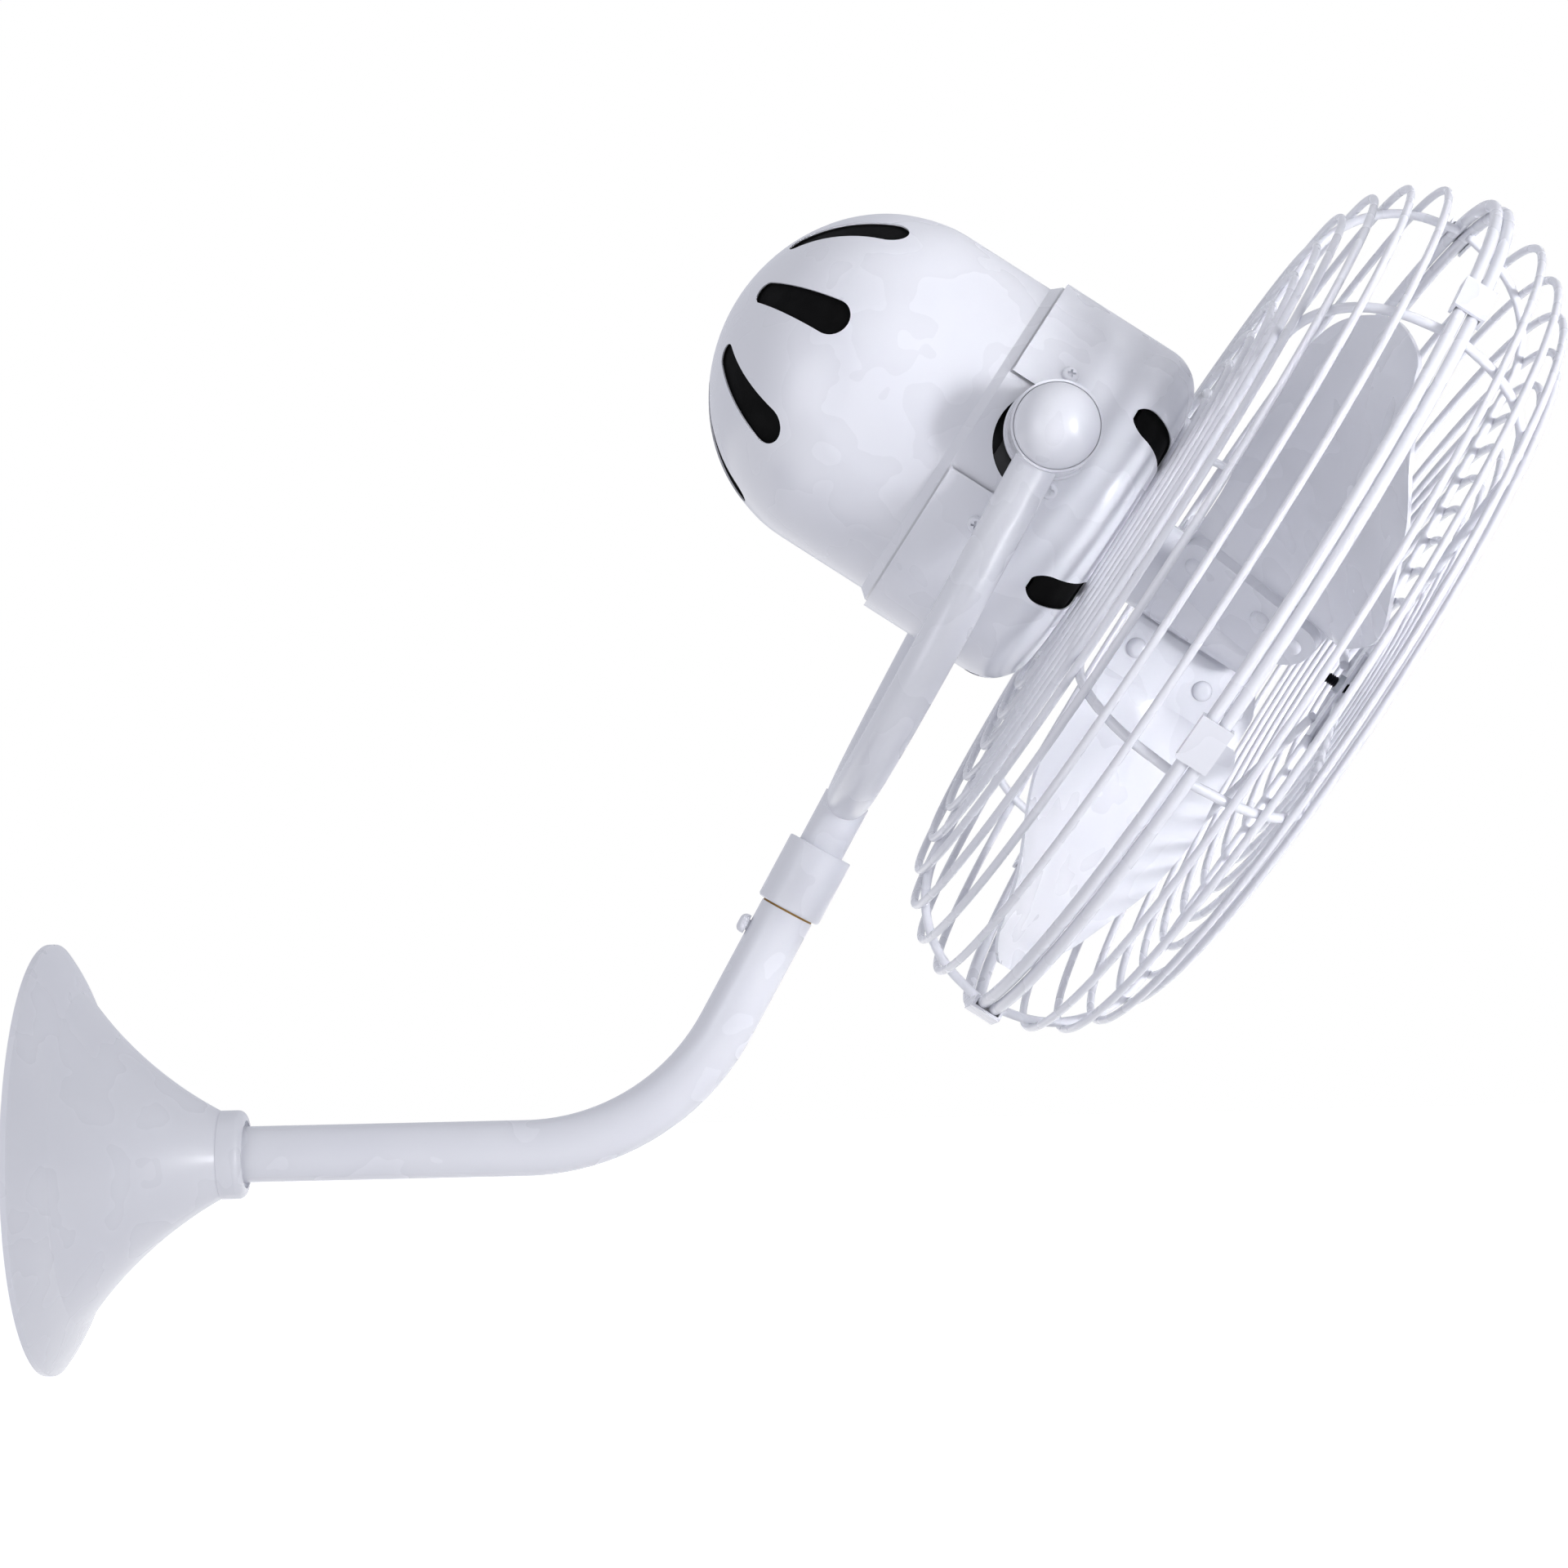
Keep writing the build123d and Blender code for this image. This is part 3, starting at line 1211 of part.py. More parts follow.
with BuildPart() as badge_stud:
    with BuildSketch(head_face.offset(badge_back)):
        Circle(badge_stud_radius)
    extrude(amount=-badge_stud_length)
    chamfer(badge_stud.faces().sort_by(motor_axis)[0].edges(), 0.6)
write(badge_stud.part, "badge_stud")
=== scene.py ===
# %% [markdown]
# # A wall fan on a bent tube arm
#
# The metal parts of this fan arrive from CAD as a fixed frame: every node already has its true shape and
# its true place, in metres. What is left for Blender is what a lens sees: stoved enamel, plated screws,
# black oxide, cast alloy, a rolled thread that is too fine for the solids, and wires that shine smoothly.
#
# The lesson runs in three steps: the stage and its light, the finishes, and the fine pieces.

# %% Load the frame
import json
import math

import bmesh
import bpy
import numpy as np
from mathutils import Matrix, Vector


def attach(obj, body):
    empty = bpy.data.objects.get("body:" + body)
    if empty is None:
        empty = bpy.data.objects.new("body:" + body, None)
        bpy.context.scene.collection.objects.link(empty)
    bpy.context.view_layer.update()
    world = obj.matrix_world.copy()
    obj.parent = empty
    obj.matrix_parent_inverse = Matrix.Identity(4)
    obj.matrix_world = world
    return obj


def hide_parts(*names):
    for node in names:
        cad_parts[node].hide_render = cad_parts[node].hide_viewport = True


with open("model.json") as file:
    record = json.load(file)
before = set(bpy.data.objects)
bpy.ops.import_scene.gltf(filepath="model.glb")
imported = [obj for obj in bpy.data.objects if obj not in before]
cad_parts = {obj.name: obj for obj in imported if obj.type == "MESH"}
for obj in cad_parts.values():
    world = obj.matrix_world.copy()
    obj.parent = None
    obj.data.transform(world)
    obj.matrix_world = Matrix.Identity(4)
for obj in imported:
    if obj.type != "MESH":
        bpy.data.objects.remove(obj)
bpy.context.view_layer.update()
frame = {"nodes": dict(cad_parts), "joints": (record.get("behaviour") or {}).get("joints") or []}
nodes = frame["nodes"]
joints = {joint["name"]: joint for joint in frame["joints"]}
scene = bpy.context.scene

# %% [markdown]
# ## Directions of the fan
#
# One straight line carries the whole head: the motor line through the shaft. Shells, guards and stud are
# all round it. The rotor's joint in the record gives it, so nothing here is typed twice. A finish or a piece
# that follows the motor works in distances along that line and away from it.

# %% Motor line and the two directions square to it
motor_point = np.array(joints["rotor_spin"]["pos_m"], float)
forward = np.array(joints["rotor_spin"]["axis"], float)
forward /= np.linalg.norm(forward)
across = np.array((0.0, 1.0, 0.0))
upright = np.cross(forward, -across)
upright = -upright if upright[2] < 0 else upright
print("motor line through", motor_point.round(4), "pointing", forward.round(4))


# %% [markdown]
# ## Colours
#
# A colour picked from a screen is an sRGB value. The renderer adds light, which only works on
# linear values, so one function turns a hex string into linear red, green and blue.

# %% Hex to linear
def linear(code, alpha=1.0):
    """sRGB hex to linear: below 0.04045 divide by 12.92, above it ((c + 0.055) / 1.055) ** 2.4."""
    channels = [int(code[i:i + 2], 16) / 255 for i in (1, 3, 5)]
    return (*[c / 12.92 if c <= 0.04045 else ((c + 0.055) / 1.055) ** 2.4 for c in channels], alpha)


def per_mm(size):
    """Scale of a pattern whose features are this many millimetres apart, on Object coordinates in metres."""
    return 1000.0 / size


enamel_thin, enamel_full = "#EAEBF1", "#EDEEF3"
print("full enamel in linear light:", [round(c, 3) for c in linear(enamel_full)[:3]])


# %% [markdown]
# ## Nodes
#
# Every material below is a small graph. One helper adds a node, sets what it is given, whether that is a
# property or a socket, and joins the sockets named in `links`. Two more put a thing into the scene.

# %% One node at a time
def put(tree, kind, links=None, sockets=None, **settings):
    """Adds a node of this kind, sets its properties and sockets, and links the named inputs."""
    node = tree.nodes.new(kind)
    for name, value in settings.items():
        setattr(node, name, value)
    for name, value in (sockets or {}).items():
        node.inputs[name].default_value = value
    for name, source in (links or {}).items():
        tree.links.new(source, node.inputs[name])
    return node


def node_of(tree, kind):
    """The first node of this kind in a graph."""
    return next(node for node in tree.nodes if node.type == kind)


def fresh_material(name):
    """A material with an empty graph, its output, and a Principled shader already joined."""
    material = bpy.data.materials.new(name)
    material.use_nodes = True
    tree = material.node_tree
    tree.nodes.clear()
    output = put(tree, "ShaderNodeOutputMaterial")
    shader = put(tree, "ShaderNodeBsdfPrincipled")
    tree.links.new(shader.outputs["BSDF"], output.inputs["Surface"])
    return material, tree, shader


# %% One object at a time
def add_object(name, data):
    """A new object in the scene around this mesh, lens or lamp."""
    thing = bpy.data.objects.new(name, data)
    scene.collection.objects.link(thing)
    return thing


def add_mesh(name, vertices, faces, material):
    """A new object at the origin with this mesh in this material."""
    mesh = bpy.data.meshes.new(name)
    mesh.from_pydata(vertices, [], faces)
    mesh.materials.append(material)
    return add_object(name, mesh)


# %% [markdown]
# ## The stage
#
# The photograph is a cut-out on pure white, with the lens level with the arm. The lens is set from the
# object's own lines: 70 mm on a 36 mm sensor, 1.3 m to the side of the arm, turned and leaned by about a
# degree. The floor lies well below, as a wall fan hangs high, and it shows white to the lens while it
# still takes the fan's soft shadow.

# %% Camera
def aim(yaw, pitch, roll):
    """Rotation whose columns are the lens's right, up and backward directions, from three small turns."""
    cy, sy, cp, sp, cr, sr = (f(a) for a in (yaw, pitch, roll) for f in (math.cos, math.sin))
    right = Vector((cr * cy - sr * sp * sy, -cr * sy - sr * sp * cy, -sr * cp))
    top = Vector((sr * cy + cr * sp * sy, -sr * sy + cr * sp * cy, cr * cp))
    ahead = Vector((cp * sy, cp * cy, -sp))
    return Matrix((right, top, -ahead)).transposed()


lens_place = (0.3028, -1.3171, 0.14915)
lens_turns = {"yaw": 0.0118, "pitch": -0.0040, "roll": 0.0214}
lens = bpy.data.cameras.new("lens")
lens.sensor_width = 36.0
lens.lens = 70.1
camera = add_object("camera", lens)
camera.matrix_world = Matrix.Translation(lens_place) @ aim(**lens_turns).to_4x4()
scene.camera = camera
scene.view_settings.view_transform = "Standard"
print("lens at", [round(v, 3) for v in camera.matrix_world.translation])

# %% Floor
floor_height, floor_reach = -0.95, 9.0
paper_glow = 0.72
opaque_white = (1, 1, 1, 1)
paper, tree, shader = fresh_material("white paper sweep")
shader.inputs["Base Color"].default_value = linear("#F4F4F6")
shader.inputs["Roughness"].default_value = 0.9
light_path = put(tree, "ShaderNodeLightPath")
shown = put(tree, "ShaderNodeMath", operation="MAXIMUM",
            links={0: light_path.outputs["Is Camera Ray"], 1: light_path.outputs["Is Glossy Ray"]})
shown = put(tree, "ShaderNodeMath", operation="MAXIMUM",
            links={0: shown.outputs[0], 1: light_path.outputs["Is Transmission Ray"]})
glow_level = put(tree, "ShaderNodeMath", operation="MULTIPLY",
                 links={0: shown.outputs[0]}, sockets={1: paper_glow})
glow = put(tree, "ShaderNodeEmission", sockets={"Color": opaque_white},
           links={"Strength": glow_level.outputs[0]})
both = put(tree, "ShaderNodeAddShader", links={0: shader.outputs["BSDF"], 1: glow.outputs[0]})
tree.links.new(both.outputs[0], node_of(tree, "OUTPUT_MATERIAL").inputs["Surface"])
floor_corners = [(x * floor_reach, y * floor_reach, floor_height)
                 for x, y in ((-1, -1), (1, -1), (1, 1), (-1, 1))]
floor = add_mesh("floor", floor_corners, [(0, 1, 2, 3)], paper)

# %% Sky and lamps
ambient_level, mirrored_level = 0.52, 0.75
world = bpy.data.worlds.new("studio white")
scene.world = world
world.use_nodes = True
tree = world.node_tree
tree.nodes.clear()
light_path = put(tree, "ShaderNodeLightPath")
seen = put(tree, "ShaderNodeMath", operation="MAXIMUM",
           links={0: light_path.outputs["Is Camera Ray"], 1: light_path.outputs["Is Transmission Ray"]})
ambient = put(tree, "ShaderNodeBackground", sockets={"Color": linear("#F0F1F8"), "Strength": ambient_level})
white = put(tree, "ShaderNodeBackground", sockets={"Color": opaque_white, "Strength": 1.0})
mirrored = put(tree, "ShaderNodeBackground", sockets={"Color": linear("#F2F4FF"), "Strength": mirrored_level})
inner = put(tree, "ShaderNodeMixShader",
            links={0: light_path.outputs["Is Glossy Ray"], 1: ambient.outputs[0], 2: mirrored.outputs[0]})
outer = put(tree, "ShaderNodeMixShader", links={0: seen.outputs[0], 1: inner.outputs[0], 2: white.outputs[0]})
put(tree, "ShaderNodeOutputWorld", links={"Surface": outer.outputs[0]})


def softbox(name, place, target, size, power, tint, spread_angle=180):
    """A lamp at place that faces target; a honeycomb in front narrows it to spread_angle degrees."""
    lamp = bpy.data.lights.new(name, "AREA")
    lamp.shape = "RECTANGLE"
    lamp.size, lamp.size_y = size
    lamp.energy = power
    lamp.spread = math.radians(spread_angle)
    lamp.color = linear(tint)[:3]
    box = add_object(name, lamp)
    box.location = place
    box.rotation_mode = "QUATERNION"
    box.rotation_quaternion = (Vector(target) - Vector(place)).to_track_quat("-Z", "Y")


fan_middle = (0.38, 0.0, 0.2)
guard_side = (0.66, 0.0, 0.36)
softbox("key", place=(2.0, -1.6, 0.15), target=guard_side, size=(0.5, 0.9), power=1.7, tint="#FCFCFF",
        spread_angle=24)
softbox("right fill", place=(1.9, -1.7, 0.1), target=fan_middle, size=(1.2, 1.6), power=8, tint="#FCFCFF")
softbox("top", place=(0.45, -0.2, 1.9), target=fan_middle, size=(1.6, 1.2), power=1.5, tint="#F9F9FF")
softbox("left fill", place=(-1.3, -1.5, 0.3), target=fan_middle, size=(1.0, 1.2), power=7, tint="#F8F8FF")
print("four lamps and the sky are up")


# %% [markdown]
# ## Finishes
#
# Each finish starts from what the real one is and how its surface was made. All patterns are solid: they
# read the point's place on the object in metres, so they don't slide, stretch or need unwrapping.

# %% Shared pieces of graph
def place_of(tree):
    """The point's own place on the object, in metres."""
    return put(tree, "ShaderNodeTexCoord").outputs["Object"]


def speckle(tree, spot, size, detail=2.0):
    """Soft noise whose lumps are about `size` millimetres apart, from 0 to 1."""
    return put(tree, "ShaderNodeTexNoise", links={"Vector": spot},
               sockets={"Scale": per_mm(size), "Detail": detail, "Roughness": 0.5}).outputs["Fac"]


def spread(tree, value, low, high, start=0.3, end=0.7):
    """Stretches a 0 to 1 pattern so that start..end becomes low..high."""
    return put(tree, "ShaderNodeMapRange", links={"Value": value},
               sockets={"From Min": start, "From Max": end, "To Min": low, "To Max": high}).outputs["Result"]


def between(tree, factor, first, second):
    """A colour from first to second, as factor goes from 0 to 1."""
    mix = put(tree, "ShaderNodeMix", data_type="RGBA")
    tree.links.new(factor, mix.inputs[0])
    for slot_index, colour in ((6, first), (7, second)):
        if isinstance(colour, str):
            mix.inputs[slot_index].default_value = linear(colour)
        else:
            tree.links.new(colour, mix.inputs[slot_index])
    return mix.outputs[2]


def relief(tree, shader, height, depth):
    """Tilts the shader's normal by a height pattern that is `depth` millimetres from low to high."""
    bump = put(tree, "ShaderNodeBump", links={"Height": height},
               sockets={"Strength": 1.0, "Distance": depth / 1000})
    tree.links.new(bump.outputs["Normal"], shader.inputs["Normal"])


def from_motor_line(tree, spot):
    """Two values of a point: how far along the motor line it lies, and how far out from that line."""
    offset = put(tree, "ShaderNodeVectorMath", operation="SUBTRACT", links={0: spot},
                 sockets={1: tuple(motor_point)}).outputs["Vector"]
    along = put(tree, "ShaderNodeVectorMath", operation="DOT_PRODUCT", links={0: offset},
                sockets={1: tuple(forward)}).outputs["Value"]
    sideways = put(tree, "ShaderNodeVectorMath", operation="CROSS_PRODUCT", links={0: offset},
                   sockets={1: tuple(forward)}).outputs["Vector"]
    out = put(tree, "ShaderNodeVectorMath", operation="LENGTH", links={0: sideways}).outputs["Value"]
    return along, out


def arithmetic(tree, kind, a, b=0.0):
    """One sum: each of a and b is a number or another node's output. Roots and sines leave b alone."""
    node = put(tree, "ShaderNodeMath", operation=kind)
    for index, value in enumerate((a, b)):
        if isinstance(value, (int, float)):
            node.inputs[index].default_value = value
        else:
            tree.links.new(value, node.inputs[index])
    return node.outputs[0]


def root_of_squares(tree, a, b):
    """The length of the long side of a right triangle: sqrt(a^2 + b^2)."""
    squares = [arithmetic(tree, "MULTIPLY", value, value) for value in (a, b)]
    return arithmetic(tree, "SQRT", arithmetic(tree, "ADD", *squares))


print("helpers for the finishes are ready")


# %% [markdown]
# ### White stoved enamel
#
# Pressed steel, tube and wire are dipped or sprayed with an alkyd enamel and baked. It flows before it
# sets, so it is glossy with a faint orange peel: low waves 2 to 5 mm apart and about 0.01 mm high. The
# white leans to blue. It isn't one flat colour: the film is a touch greyer where it is thin, and handling
# leaves faint duller patches. On wire the same film draws thin and smooth, so it hardly waves.

# %% Enamel
polymer_ior = 1.5
film_patch = 55
handling_patch, handling_range = 24, 0.03
coat_weight, coat_roughness = 0.35, 0.2
sheet_wave, sheet_wave_depth = 3.6, 0.012


def stoved_enamel(name, wave, depth, dullness=0.26):
    """White baked enamel over steel: its roughness, and its orange peel `wave` mm apart, `depth` mm high."""
    material, tree, shader = fresh_material(name)
    spot = place_of(tree)
    film = spread(tree, speckle(tree, spot, film_patch, detail=3.0), 0.0, 1.0)
    tree.links.new(between(tree, film, enamel_thin, enamel_full), shader.inputs["Base Color"])
    handling = speckle(tree, spot, handling_patch, detail=1.5)
    tree.links.new(spread(tree, handling, dullness, dullness + handling_range), shader.inputs["Roughness"])
    shader.inputs["IOR"].default_value = polymer_ior
    shader.inputs["Coat Weight"].default_value = coat_weight
    shader.inputs["Coat Roughness"].default_value = coat_roughness
    relief(tree, shader, speckle(tree, spot, wave, detail=1.5), depth)
    return material


sheet_enamel = stoved_enamel("white stoved enamel on pressed steel", sheet_wave, sheet_wave_depth)
tube_enamel = stoved_enamel("white stoved enamel on drawn tube", wave=5.0, depth=0.010, dullness=0.25)
wire_enamel = stoved_enamel("white stoved enamel on drawn wire", wave=2.4, depth=0.0015)
print("enamel on sheet, tube and wire")


# %% [markdown]
# ### Two faces of one shell
#
# The motor's dome and drum are enamelled outside, and their inside faces get painted shade: a matt near-black
# colour that stands in for the dark inside of the motor, which is why their vents look like holes into the
# dark. A shell's wall is 1.2 mm thick, so a point gets the painted shade when it lies deeper than the middle
# of the wall. The drum is a cylinder with a rounded front edge, and there the depth is measured from the
# round. The dome's end is close to a flattened sphere, so the distance along the line is first stretched
# until the shape is a true sphere.

# %% Shells with painted shade inside
# Painted shade: a near-black matt colour for the inside faces of dome and drum, standing in for the dark
# inside of the motor.
painted_shade_colour, painted_shade_roughness = "#050506", 0.85
wall_half = 0.0006
drum_edge_round = 0.0194
dome_round_start = -0.0712
dome_skirt_start = -0.045


def enamel_with_painted_shade(name, is_inside):
    """Enamel outside and matt near-black painted shade where is_inside(tree, along, out) gives 1."""
    material = stoved_enamel(name, sheet_wave, sheet_wave_depth)
    tree = material.node_tree
    shader = node_of(tree, "BSDF_PRINCIPLED")
    inside = is_inside(tree, *from_motor_line(tree, place_of(tree)))
    colour, roughness = shader.inputs["Base Color"], shader.inputs["Roughness"]
    # Painted shade: the inside faces turn near-black and matt where the motor's inside lies in shadow.
    tree.links.new(between(tree, inside, colour.links[0].from_socket, painted_shade_colour), colour)
    painted_shade_rough = arithmetic(tree, "MULTIPLY", inside, painted_shade_roughness)
    tree.links.new(arithmetic(tree, "MAXIMUM", roughness.links[0].from_socket, painted_shade_rough), roughness)
    return material


def points_of(node):
    """Every point of a node's mesh, in metres."""
    places = np.empty(len(nodes[node].data.vertices) * 3)
    nodes[node].data.vertices.foreach_get("co", places)
    return places.reshape(-1, 3)


def reach_of(node, along_to=1.0):
    """Radius and both ends of a node about the motor line, from its points that lie behind along_to."""
    offset = points_of(node) - motor_point
    along = offset @ forward
    out = np.linalg.norm(offset - np.outer(along, forward), axis=1)
    kept = along < along_to
    return out[kept].max(), along[kept].min(), along[kept].max()


drum_outer, _, drum_end = reach_of("front_drum")
dome_outer, dome_start, _ = reach_of("rear_dome", dome_skirt_start)
dome_reach = dome_round_start - dome_start
print("drum radius", round(drum_outer, 4), "dome radius", round(dome_outer, 4),
      "dome reach", round(dome_reach, 4))


def inside_drum(tree, along, out):
    """Depth below a cylinder whose front edge has a round: length(max(q, 0)) + min(max(q), 0) - round."""
    q_out = arithmetic(tree, "SUBTRACT", out, drum_outer - drum_edge_round)
    q_along = arithmetic(tree, "SUBTRACT", along, drum_end - drum_edge_round)
    corner_out = arithmetic(tree, "MAXIMUM", q_out, 0.0)
    corner_along = arithmetic(tree, "MAXIMUM", q_along, 0.0)
    corner = root_of_squares(tree, corner_out, corner_along)
    deep = arithmetic(tree, "MINIMUM", arithmetic(tree, "MAXIMUM", q_out, q_along), 0.0)
    return arithmetic(tree, "LESS_THAN", arithmetic(tree, "ADD", corner, deep), drum_edge_round - wall_half)


def inside_dome(tree, along, out):
    """Distance in the stretched round: sqrt((k * (start - along))^2 + out^2) below the mid wall's radius."""
    back = arithmetic(tree, "MAXIMUM", arithmetic(tree, "SUBTRACT", dome_round_start, along), 0.0)
    back = arithmetic(tree, "MULTIPLY", back, (dome_outer - wall_half) / (dome_reach - wall_half))
    return arithmetic(tree, "LESS_THAN", root_of_squares(tree, back, out), dome_outer - wall_half)


drum_enamel_and_painted_shade = enamel_with_painted_shade("white enamel drum with painted shade inside", inside_drum)
dome_enamel_and_painted_shade = enamel_with_painted_shade("white enamel dome with painted shade inside", inside_dome)


# %% [markdown]
# ### Plated, blackened and cast metals
#
# The inner metals show from below and through gaps. Zinc plating is a bright grey with fine grain and a
# soft cloudy bloom. Black oxide is a thin dark film with metal showing through the gloss. Cast alloy has
# a matt skin with sand-fine pits. Bronze bushes are porous and oily.

# %% Metals
def metal(name, dark, light, roughness, cloud, grain, depth):
    """Bare or plated metal: two tones clouded `cloud` mm apart, grain `grain` mm apart, `depth` mm deep."""
    material, tree, shader = fresh_material(name)
    spot = place_of(tree)
    tone = spread(tree, speckle(tree, spot, cloud, detail=3.0), 0.0, 1.0)
    tree.links.new(between(tree, tone, dark, light), shader.inputs["Base Color"])
    shader.inputs["Metallic"].default_value = 1.0
    pits = speckle(tree, spot, grain)
    tree.links.new(spread(tree, pits, roughness - 0.06, roughness + 0.08), shader.inputs["Roughness"])
    relief(tree, shader, pits, depth)
    return material


zinc = metal("bright zinc plated steel", "#A7ABB0", "#C3C6CA", 0.34, cloud=9, grain=0.6, depth=0.01)
black_oxide = metal("black oxide on steel", "#121214", "#242428", 0.42, cloud=5, grain=0.5, depth=0.01)
ground_steel = metal("ground bar steel", "#9B9DA0", "#BFC1C4", 0.26, cloud=14, grain=0.5, depth=0.006)
cast_alloy = metal("die cast aluminium alloy", "#8B8D90", "#A3A5A8", 0.55, cloud=12, grain=0.9, depth=0.04)
bronze = metal("sintered bronze", "#7D5F33", "#9C7A45", 0.48, cloud=4, grain=0.5, depth=0.02)
print("five metals")


# %% [markdown]
# ### Laminations and windings
#
# A motor core is a stack of half-millimetre silicon steel sheets, so its side is ruled with fine dark
# lines square to the motor line. The real sheets are 0.5 mm thick; the lines are drawn 1.2 mm apart so
# that they still show in a picture. The windings are enamelled copper wire, a deep red-brown with bright
# strands that run round the motor line.

# %% Ruled finishes
def ruled(name, dark, light, spacing, roughness, metallic, direction):
    """Fine rules `spacing` mm apart, counted along the motor line ("along") or outwards ("out")."""
    material, tree, shader = fresh_material(name)
    spot = place_of(tree)
    along, out = from_motor_line(tree, spot)
    measure = along if direction == "along" else out
    phase = arithmetic(tree, "MULTIPLY", measure, 2 * math.pi * per_mm(spacing))
    line = spread(tree, arithmetic(tree, "SINE", phase), 0.0, 1.0, start=-0.9, end=0.2)
    tree.links.new(between(tree, line, dark, light), shader.inputs["Base Color"])
    shader.inputs["Metallic"].default_value = metallic
    wear = speckle(tree, spot, size=3)
    tree.links.new(spread(tree, wear, roughness - 0.05, roughness + 0.1), shader.inputs["Roughness"])
    relief(tree, shader, line, depth=0.06)
    return material


laminations = ruled("silicon steel laminations", "#2A2B2D", "#77797C", spacing=1.2, roughness=0.45,
                    metallic=1.0, direction="along")
copper = ruled("enamelled copper winding", "#4A1E0C", "#A5542A", spacing=1.1, roughness=0.35,
               metallic=0.9, direction="out")
print("two ruled finishes")


# %% [markdown]
# ### Rubber, jacket, moulded case, and two near-black painted shades
#
# The grommet is moulded EPDM rubber, the lead's jacket is extruded PVC and the capacitor sits in a
# glossy moulded case. None of them is metal: their gloss comes from an IOR near 1.5 alone. Behind the
# vents sits a near-black sheet of painted shade that stands in for the dark inside of the motor, with a
# matt grain that still shows from close by. The motor's two end castings are near-black painted shade too,
# over a fine grain, so the holes beside the yoke's balls read as deep shadow with nothing bright in them.

# %% Polymers and near-black painted shade
def dark_polymer(name, dark, light, roughness, grain, depth):
    """Moulded or extruded polymer, or near-black painted shade: two near tones, `grain` mm texture `depth` mm
    deep.
    """
    material, tree, shader = fresh_material(name)
    spot = place_of(tree)
    tone = spread(tree, speckle(tree, spot, size=18, detail=3.0), 0.0, 1.0)
    tree.links.new(between(tree, tone, dark, light), shader.inputs["Base Color"])
    wear = speckle(tree, spot, size=7, detail=3.0)
    tree.links.new(spread(tree, wear, roughness - 0.05, roughness + 0.06), shader.inputs["Roughness"])
    shader.inputs["IOR"].default_value = polymer_ior
    relief(tree, shader, speckle(tree, spot, grain), depth)
    return material


shade_sheet_sheen = 0.15
# Painted shade: a near-black matt sheet behind the vents for the dark inside of the motor, its sheen turned
# low.
screen = dark_polymer("near-black sheet of painted shade behind the vents", "#010101", "#040404", 0.93, grain=0.7, depth=0.08)
node_of(screen.node_tree, "BSDF_PRINCIPLED").inputs["Specular IOR Level"].default_value = shade_sheet_sheen
# Painted shade: the end castings are near-black so the holes beside the yoke's balls read as deep shadow.
castings_painted_shade = dark_polymer("near-black painted shade on castings", "#060607", "#0D0D0F", 0.4, grain=1.1, depth=0.03)
rubber = dark_polymer("moulded EPDM rubber", "#0E0E0F", "#19191A", 0.75, grain=0.8, depth=0.03)
jacket = dark_polymer("extruded PVC jacket", "#101012", "#1B1B1E", 0.5, grain=1.4, depth=0.02)
case = dark_polymer("moulded capacitor case", "#151518", "#1F1F23", 0.25, grain=2.5, depth=0.01)
print("two near-black painted shades and three polymers")


# %% [markdown]
# ## Which node wears what
#
# One list per finish names its nodes. A node that no list names would keep the grey that came with the
# file, so the last lines check that none is left over.

# %% Dress the nodes
blades = sorted(n for n in nodes if n.startswith("blade_") and n != "blade_rivets")
wears = {
    sheet_enamel: ["canopy_bell", "canopy_neck", "swivel_collar", "yoke", "ball_cap_near", "ball_cap_far",
                   "tilt_washers", "badge", "badge_strap", "fan_hub", "blade_rivets", "guard_clamps",
                   "guard_clips", "clamp_screws", "case_screws", "arm_lock_screw", *blades],
    tube_enamel: ["arm_tube"],
    wire_enamel: ["rear_guard", "front_guard"],
    drum_enamel_and_painted_shade: ["front_drum"],
    dome_enamel_and_painted_shade: ["rear_dome"],
    zinc: ["wall_plate", "socket_screws", "pivot_bolts", "pivot_washers", "tie_bolts", "badge_nut",
           "swivel_spindle"],
    ground_steel: ["motor_shaft", "front_bearing", "rear_bearing"],
    black_oxide: ["socket_grubs", "canopy_grub", "hub_grub", "badge_stud"],
    cast_alloy: ["arm_socket"],
    # The end castings wear near-black painted shade.
    castings_painted_shade: ["motor_bracket", "rear_end_shield"],
    bronze: ["swivel_bush", "tilt_bushes"],
    laminations: ["stator_core", "rotor_core"],
    copper: ["windings"],
    # The vent screens wear near-black painted shade.
    screen: ["dome_screen", "drum_screen"],
    rubber: ["lead_grommet"],
    jacket: ["supply_lead"],
    case: ["capacitor"],
}
for material, names in wears.items():
    for name in names:
        nodes[name].data.materials.clear()
        nodes[name].data.materials.append(material)
dressed = {name for names in wears.values() for name in names}
print("dressed", len(dressed), "nodes; bare:", sorted(set(nodes) - dressed))

# %% [markdown]
# ## Fine pieces
#
# Threads are too fine for the solids, which carry them as plain rods. A rolled thread is a helix: the
# rod's radius rises and falls once per pitch along its length, and that wave turns with the angle. So the
# whole thread is one surface of two numbers, the angle round the rod and the distance along it.

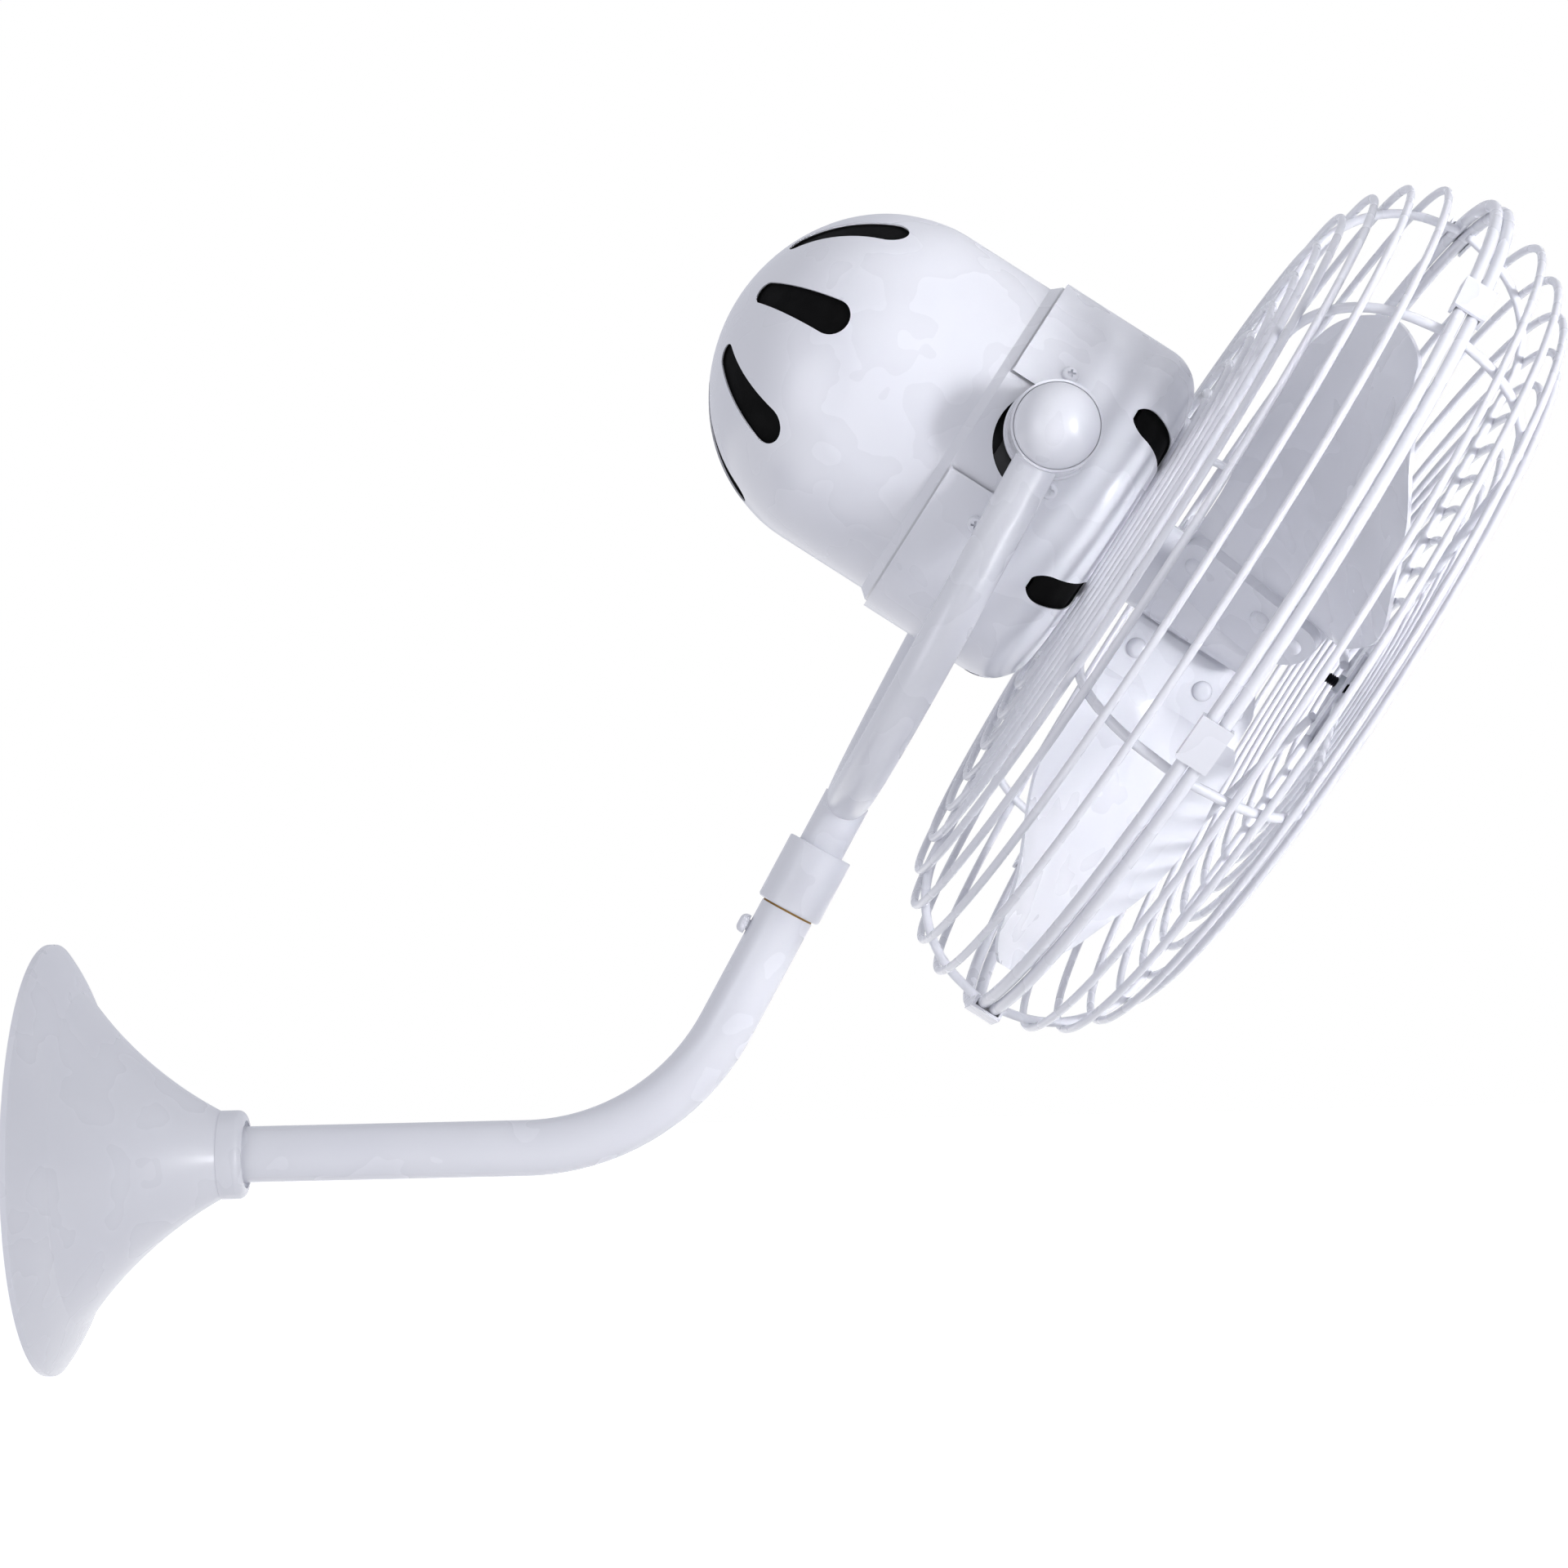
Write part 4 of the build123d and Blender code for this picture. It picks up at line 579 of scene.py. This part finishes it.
# %% Surface from a grid
def closed_grid(name, points, material):
    """Smooth piece of a grid of points [row, column, xyz]: columns go round, both ends close on a pole."""
    rows, columns = points.shape[:2]
    left = np.arange(rows * columns).reshape(rows, columns)
    right = np.roll(left, -1, axis=1)
    faces = np.stack([left[:-1], right[:-1], right[1:], left[1:]], axis=-1).reshape(-1, 4).tolist()
    first_pole, last_pole = rows * columns, rows * columns + 1
    faces += [[b, a, first_pole] for a, b in zip(left[0].tolist(), right[0].tolist())]
    faces += [[a, b, last_pole] for a, b in zip(left[-1].tolist(), right[-1].tolist())]
    poles = [points[0].mean(0), points[-1].mean(0)]
    piece = add_mesh(name, np.vstack([points.reshape(-1, 3), poles]).tolist(), faces, material)
    piece.data.polygons.foreach_set("use_smooth", [True] * len(faces))
    return piece


def rod_of(node, direction):
    """Middle line, radius and both ends of a straight rod, read from its node's points."""
    places = points_of(node)
    along = places @ direction
    flat = places - np.outer(along, direction)
    centre = (flat.max(0) + flat.min(0)) / 2
    centre -= direction * (centre @ direction)
    return centre, np.linalg.norm(flat - centre, axis=1).max(), along.min(), along.max()


thread_pitch, thread_depth = 0.0010, 0.00055
steps_per_pitch, steps_round = 8, 32
run_out = 0.8 * thread_pitch


def threaded_rod(name, centre, direction, start, end, radius, material):
    """A rod whose radius is r - depth * (1 - (1 - wave) * taper).

    wave is a triangle wave of z / pitch - angle / turn, and taper falls to 0 at both ends, down to the root.
    """
    side = np.cross(direction, across)
    side /= np.linalg.norm(side)
    other = np.cross(direction, side)
    length = end - start
    steps = int(round(length / thread_pitch * steps_per_pitch))
    z, angle = np.meshgrid(np.linspace(0, length, steps + 1),
                           np.linspace(0, 2 * np.pi, steps_round, endpoint=False), indexing="ij")
    wave = np.abs(((z / thread_pitch - angle / (2 * np.pi)) % 1.0) * 2 - 1)
    taper = np.clip(np.minimum(z, length - z) / run_out, 0, 1)
    out = radius - thread_depth * (1 - (1 - wave) * taper)
    points = (centre + direction * start
              + z[..., None] * direction
              + (out * np.cos(angle))[..., None] * side
              + (out * np.sin(angle))[..., None] * other)
    return closed_grid(name, points, material)


# %% Badge stud
centre, radius, start, end = rod_of("badge_stud", forward)
stud = threaded_rod("badge_stud_thread", centre, forward, start, end, radius, black_oxide)
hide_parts("badge_stud")
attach(stud, "head")
print("stud radius", round(radius * 1000, 2), "mm, length", round((end - start) * 1000, 1), "mm")

# %% [markdown]
# ## Guard wires
#
# A wire guard is all highlights: every wire carries one thin bright line, and the solids' flat triangles
# break it up. Each wire is a flat path with a round section, so both guards are drawn again as tubes whose
# normals turn smoothly. The bowl's side is a short straight wall, an arc and a nearly flat face, all
# measured along the profile from the rim, as the wires are spaced in a real guard.

# %% Bowl profile and tubes
rim_radius = 0.202
rim_station, rim_apart = 0.1084, 0.0028
bowl_wall, bowl_round = 0.0123, 0.0507
rim_angle, face_angle = math.radians(78), math.radians(3)
rim_wire, ring_wire, rib_wire = 0.00258, 0.0017, 0.002
weld_sink = 0.0005
rib_inset = ring_wire + rib_wire - weld_sink
first_ring, ring_pitch = 0.0203, 0.01515
rib_count, rib_phase, rib_overhang = 6, 55.5, 0.0027
wire_sides, ring_steps, rib_steps = 14, 216, 70


def bowl_point(length, inset=0.0):
    """Outward and radius at a length along the profile: the wall, then the arc, then the face.

    On the arc it is centre + r (cos a, sin a). Wall and face run straight on from the arc's ends.
    """
    arc = bowl_round * (rim_angle - face_angle)
    angle = min(rim_angle, max(face_angle, rim_angle - (length - bowl_wall) / bowl_round))
    straight = min(0.0, length - bowl_wall) + max(0.0, length - bowl_wall - arc)
    outward = bowl_wall * math.sin(rim_angle) - bowl_round * math.cos(rim_angle)
    radius = rim_radius - bowl_wall * math.cos(rim_angle) - bowl_round * math.sin(rim_angle)
    reach = bowl_round - inset
    return (outward + reach * math.cos(angle) + straight * math.sin(angle),
            radius + reach * math.sin(angle) - straight * math.cos(angle))


def swept_wire(path, plane_normal, wire, closed):
    """Tube on a flat path: path + wire * (cos a * side + sin a * normal), where side = tangent x normal."""
    tangent = np.roll(path, -1, 0) - np.roll(path, 1, 0) if closed else np.gradient(path, axis=0)
    tangent /= np.linalg.norm(tangent, axis=1)[:, None]
    side = np.cross(tangent, plane_normal)
    angle = np.linspace(0, 2 * np.pi, wire_sides, endpoint=False)[None, :, None]
    points = path[:, None] + wire * (np.cos(angle) * side[:, None] + np.sin(angle) * plane_normal)
    index = np.arange(len(path) * wire_sides).reshape(-1, wire_sides)
    here, ahead = (index, np.roll(index, -1, 0)) if closed else (index[:-1], index[1:])
    faces = np.stack([here, np.roll(here, -1, 1), np.roll(ahead, -1, 1), ahead], -1).reshape(-1, 4).tolist()
    if not closed:
        faces += [index[0][::-1].tolist(), index[-1].tolist()]
    return points.reshape(-1, 3), faces


def outward_at(azimuth):
    """Direction away from the motor line: 0 degrees is upright, 90 is towards -Y."""
    return math.cos(azimuth) * upright - math.sin(azimuth) * across


def guard_tubes(side_sign, ring_count):
    """The rim, the rings and the ribs of the rear (-1) or the front (1) half, as one list of tubes."""
    middle = motor_point + forward * (rim_station + side_sign * rim_apart)
    lengths = [first_ring + ring_pitch * index for index in range(ring_count)]
    circles = [(0.0, rim_radius, rim_wire)] + [(*bowl_point(length), ring_wire) for length in lengths]
    tubes = []
    for outward, radius, wire in circles:
        ring = middle + forward * (side_sign * outward) + radius * round_directions
        tubes.append(swept_wire(ring, forward, wire, closed=True))
    rib_lengths = np.linspace(0, lengths[-1] + rib_overhang, rib_steps)
    outward, radius = np.array([bowl_point(length, rib_inset) for length in rib_lengths]).T[:, :, None]
    for rib in range(rib_count):
        ray = outward_at(math.radians(rib_phase + 360 / rib_count * rib))
        path = middle + forward * (side_sign * outward) + radius * ray
        tubes.append(swept_wire(path, np.cross(forward, ray), rib_wire, closed=False))
    return tubes


# %% Both guards
round_directions = np.array([outward_at(a) for a in np.linspace(0, 2 * np.pi, ring_steps, endpoint=False)])
for node, side_sign, ring_count in (("rear_guard", -1, 11), ("front_guard", 1, 13)):
    vertices, faces = [], []
    for points, tube_faces in guard_tubes(side_sign, ring_count):
        faces += [[len(vertices) + corner for corner in face] for face in tube_faces]
        vertices += points.tolist()
    wires = add_mesh(node + "_wires", vertices, faces, wire_enamel)
    shell = bmesh.new()
    shell.from_mesh(wires.data)
    bmesh.ops.recalc_face_normals(shell, faces=shell.faces)
    shell.to_mesh(wires.data)
    shell.free()
    wires.data.polygons.foreach_set("use_smooth", [len(face.vertices) == 4 for face in wires.data.polygons])
    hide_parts(node)
    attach(wires, "head")
    print(node, "wires:", sum(len(face) - 2 for face in faces), "triangles")
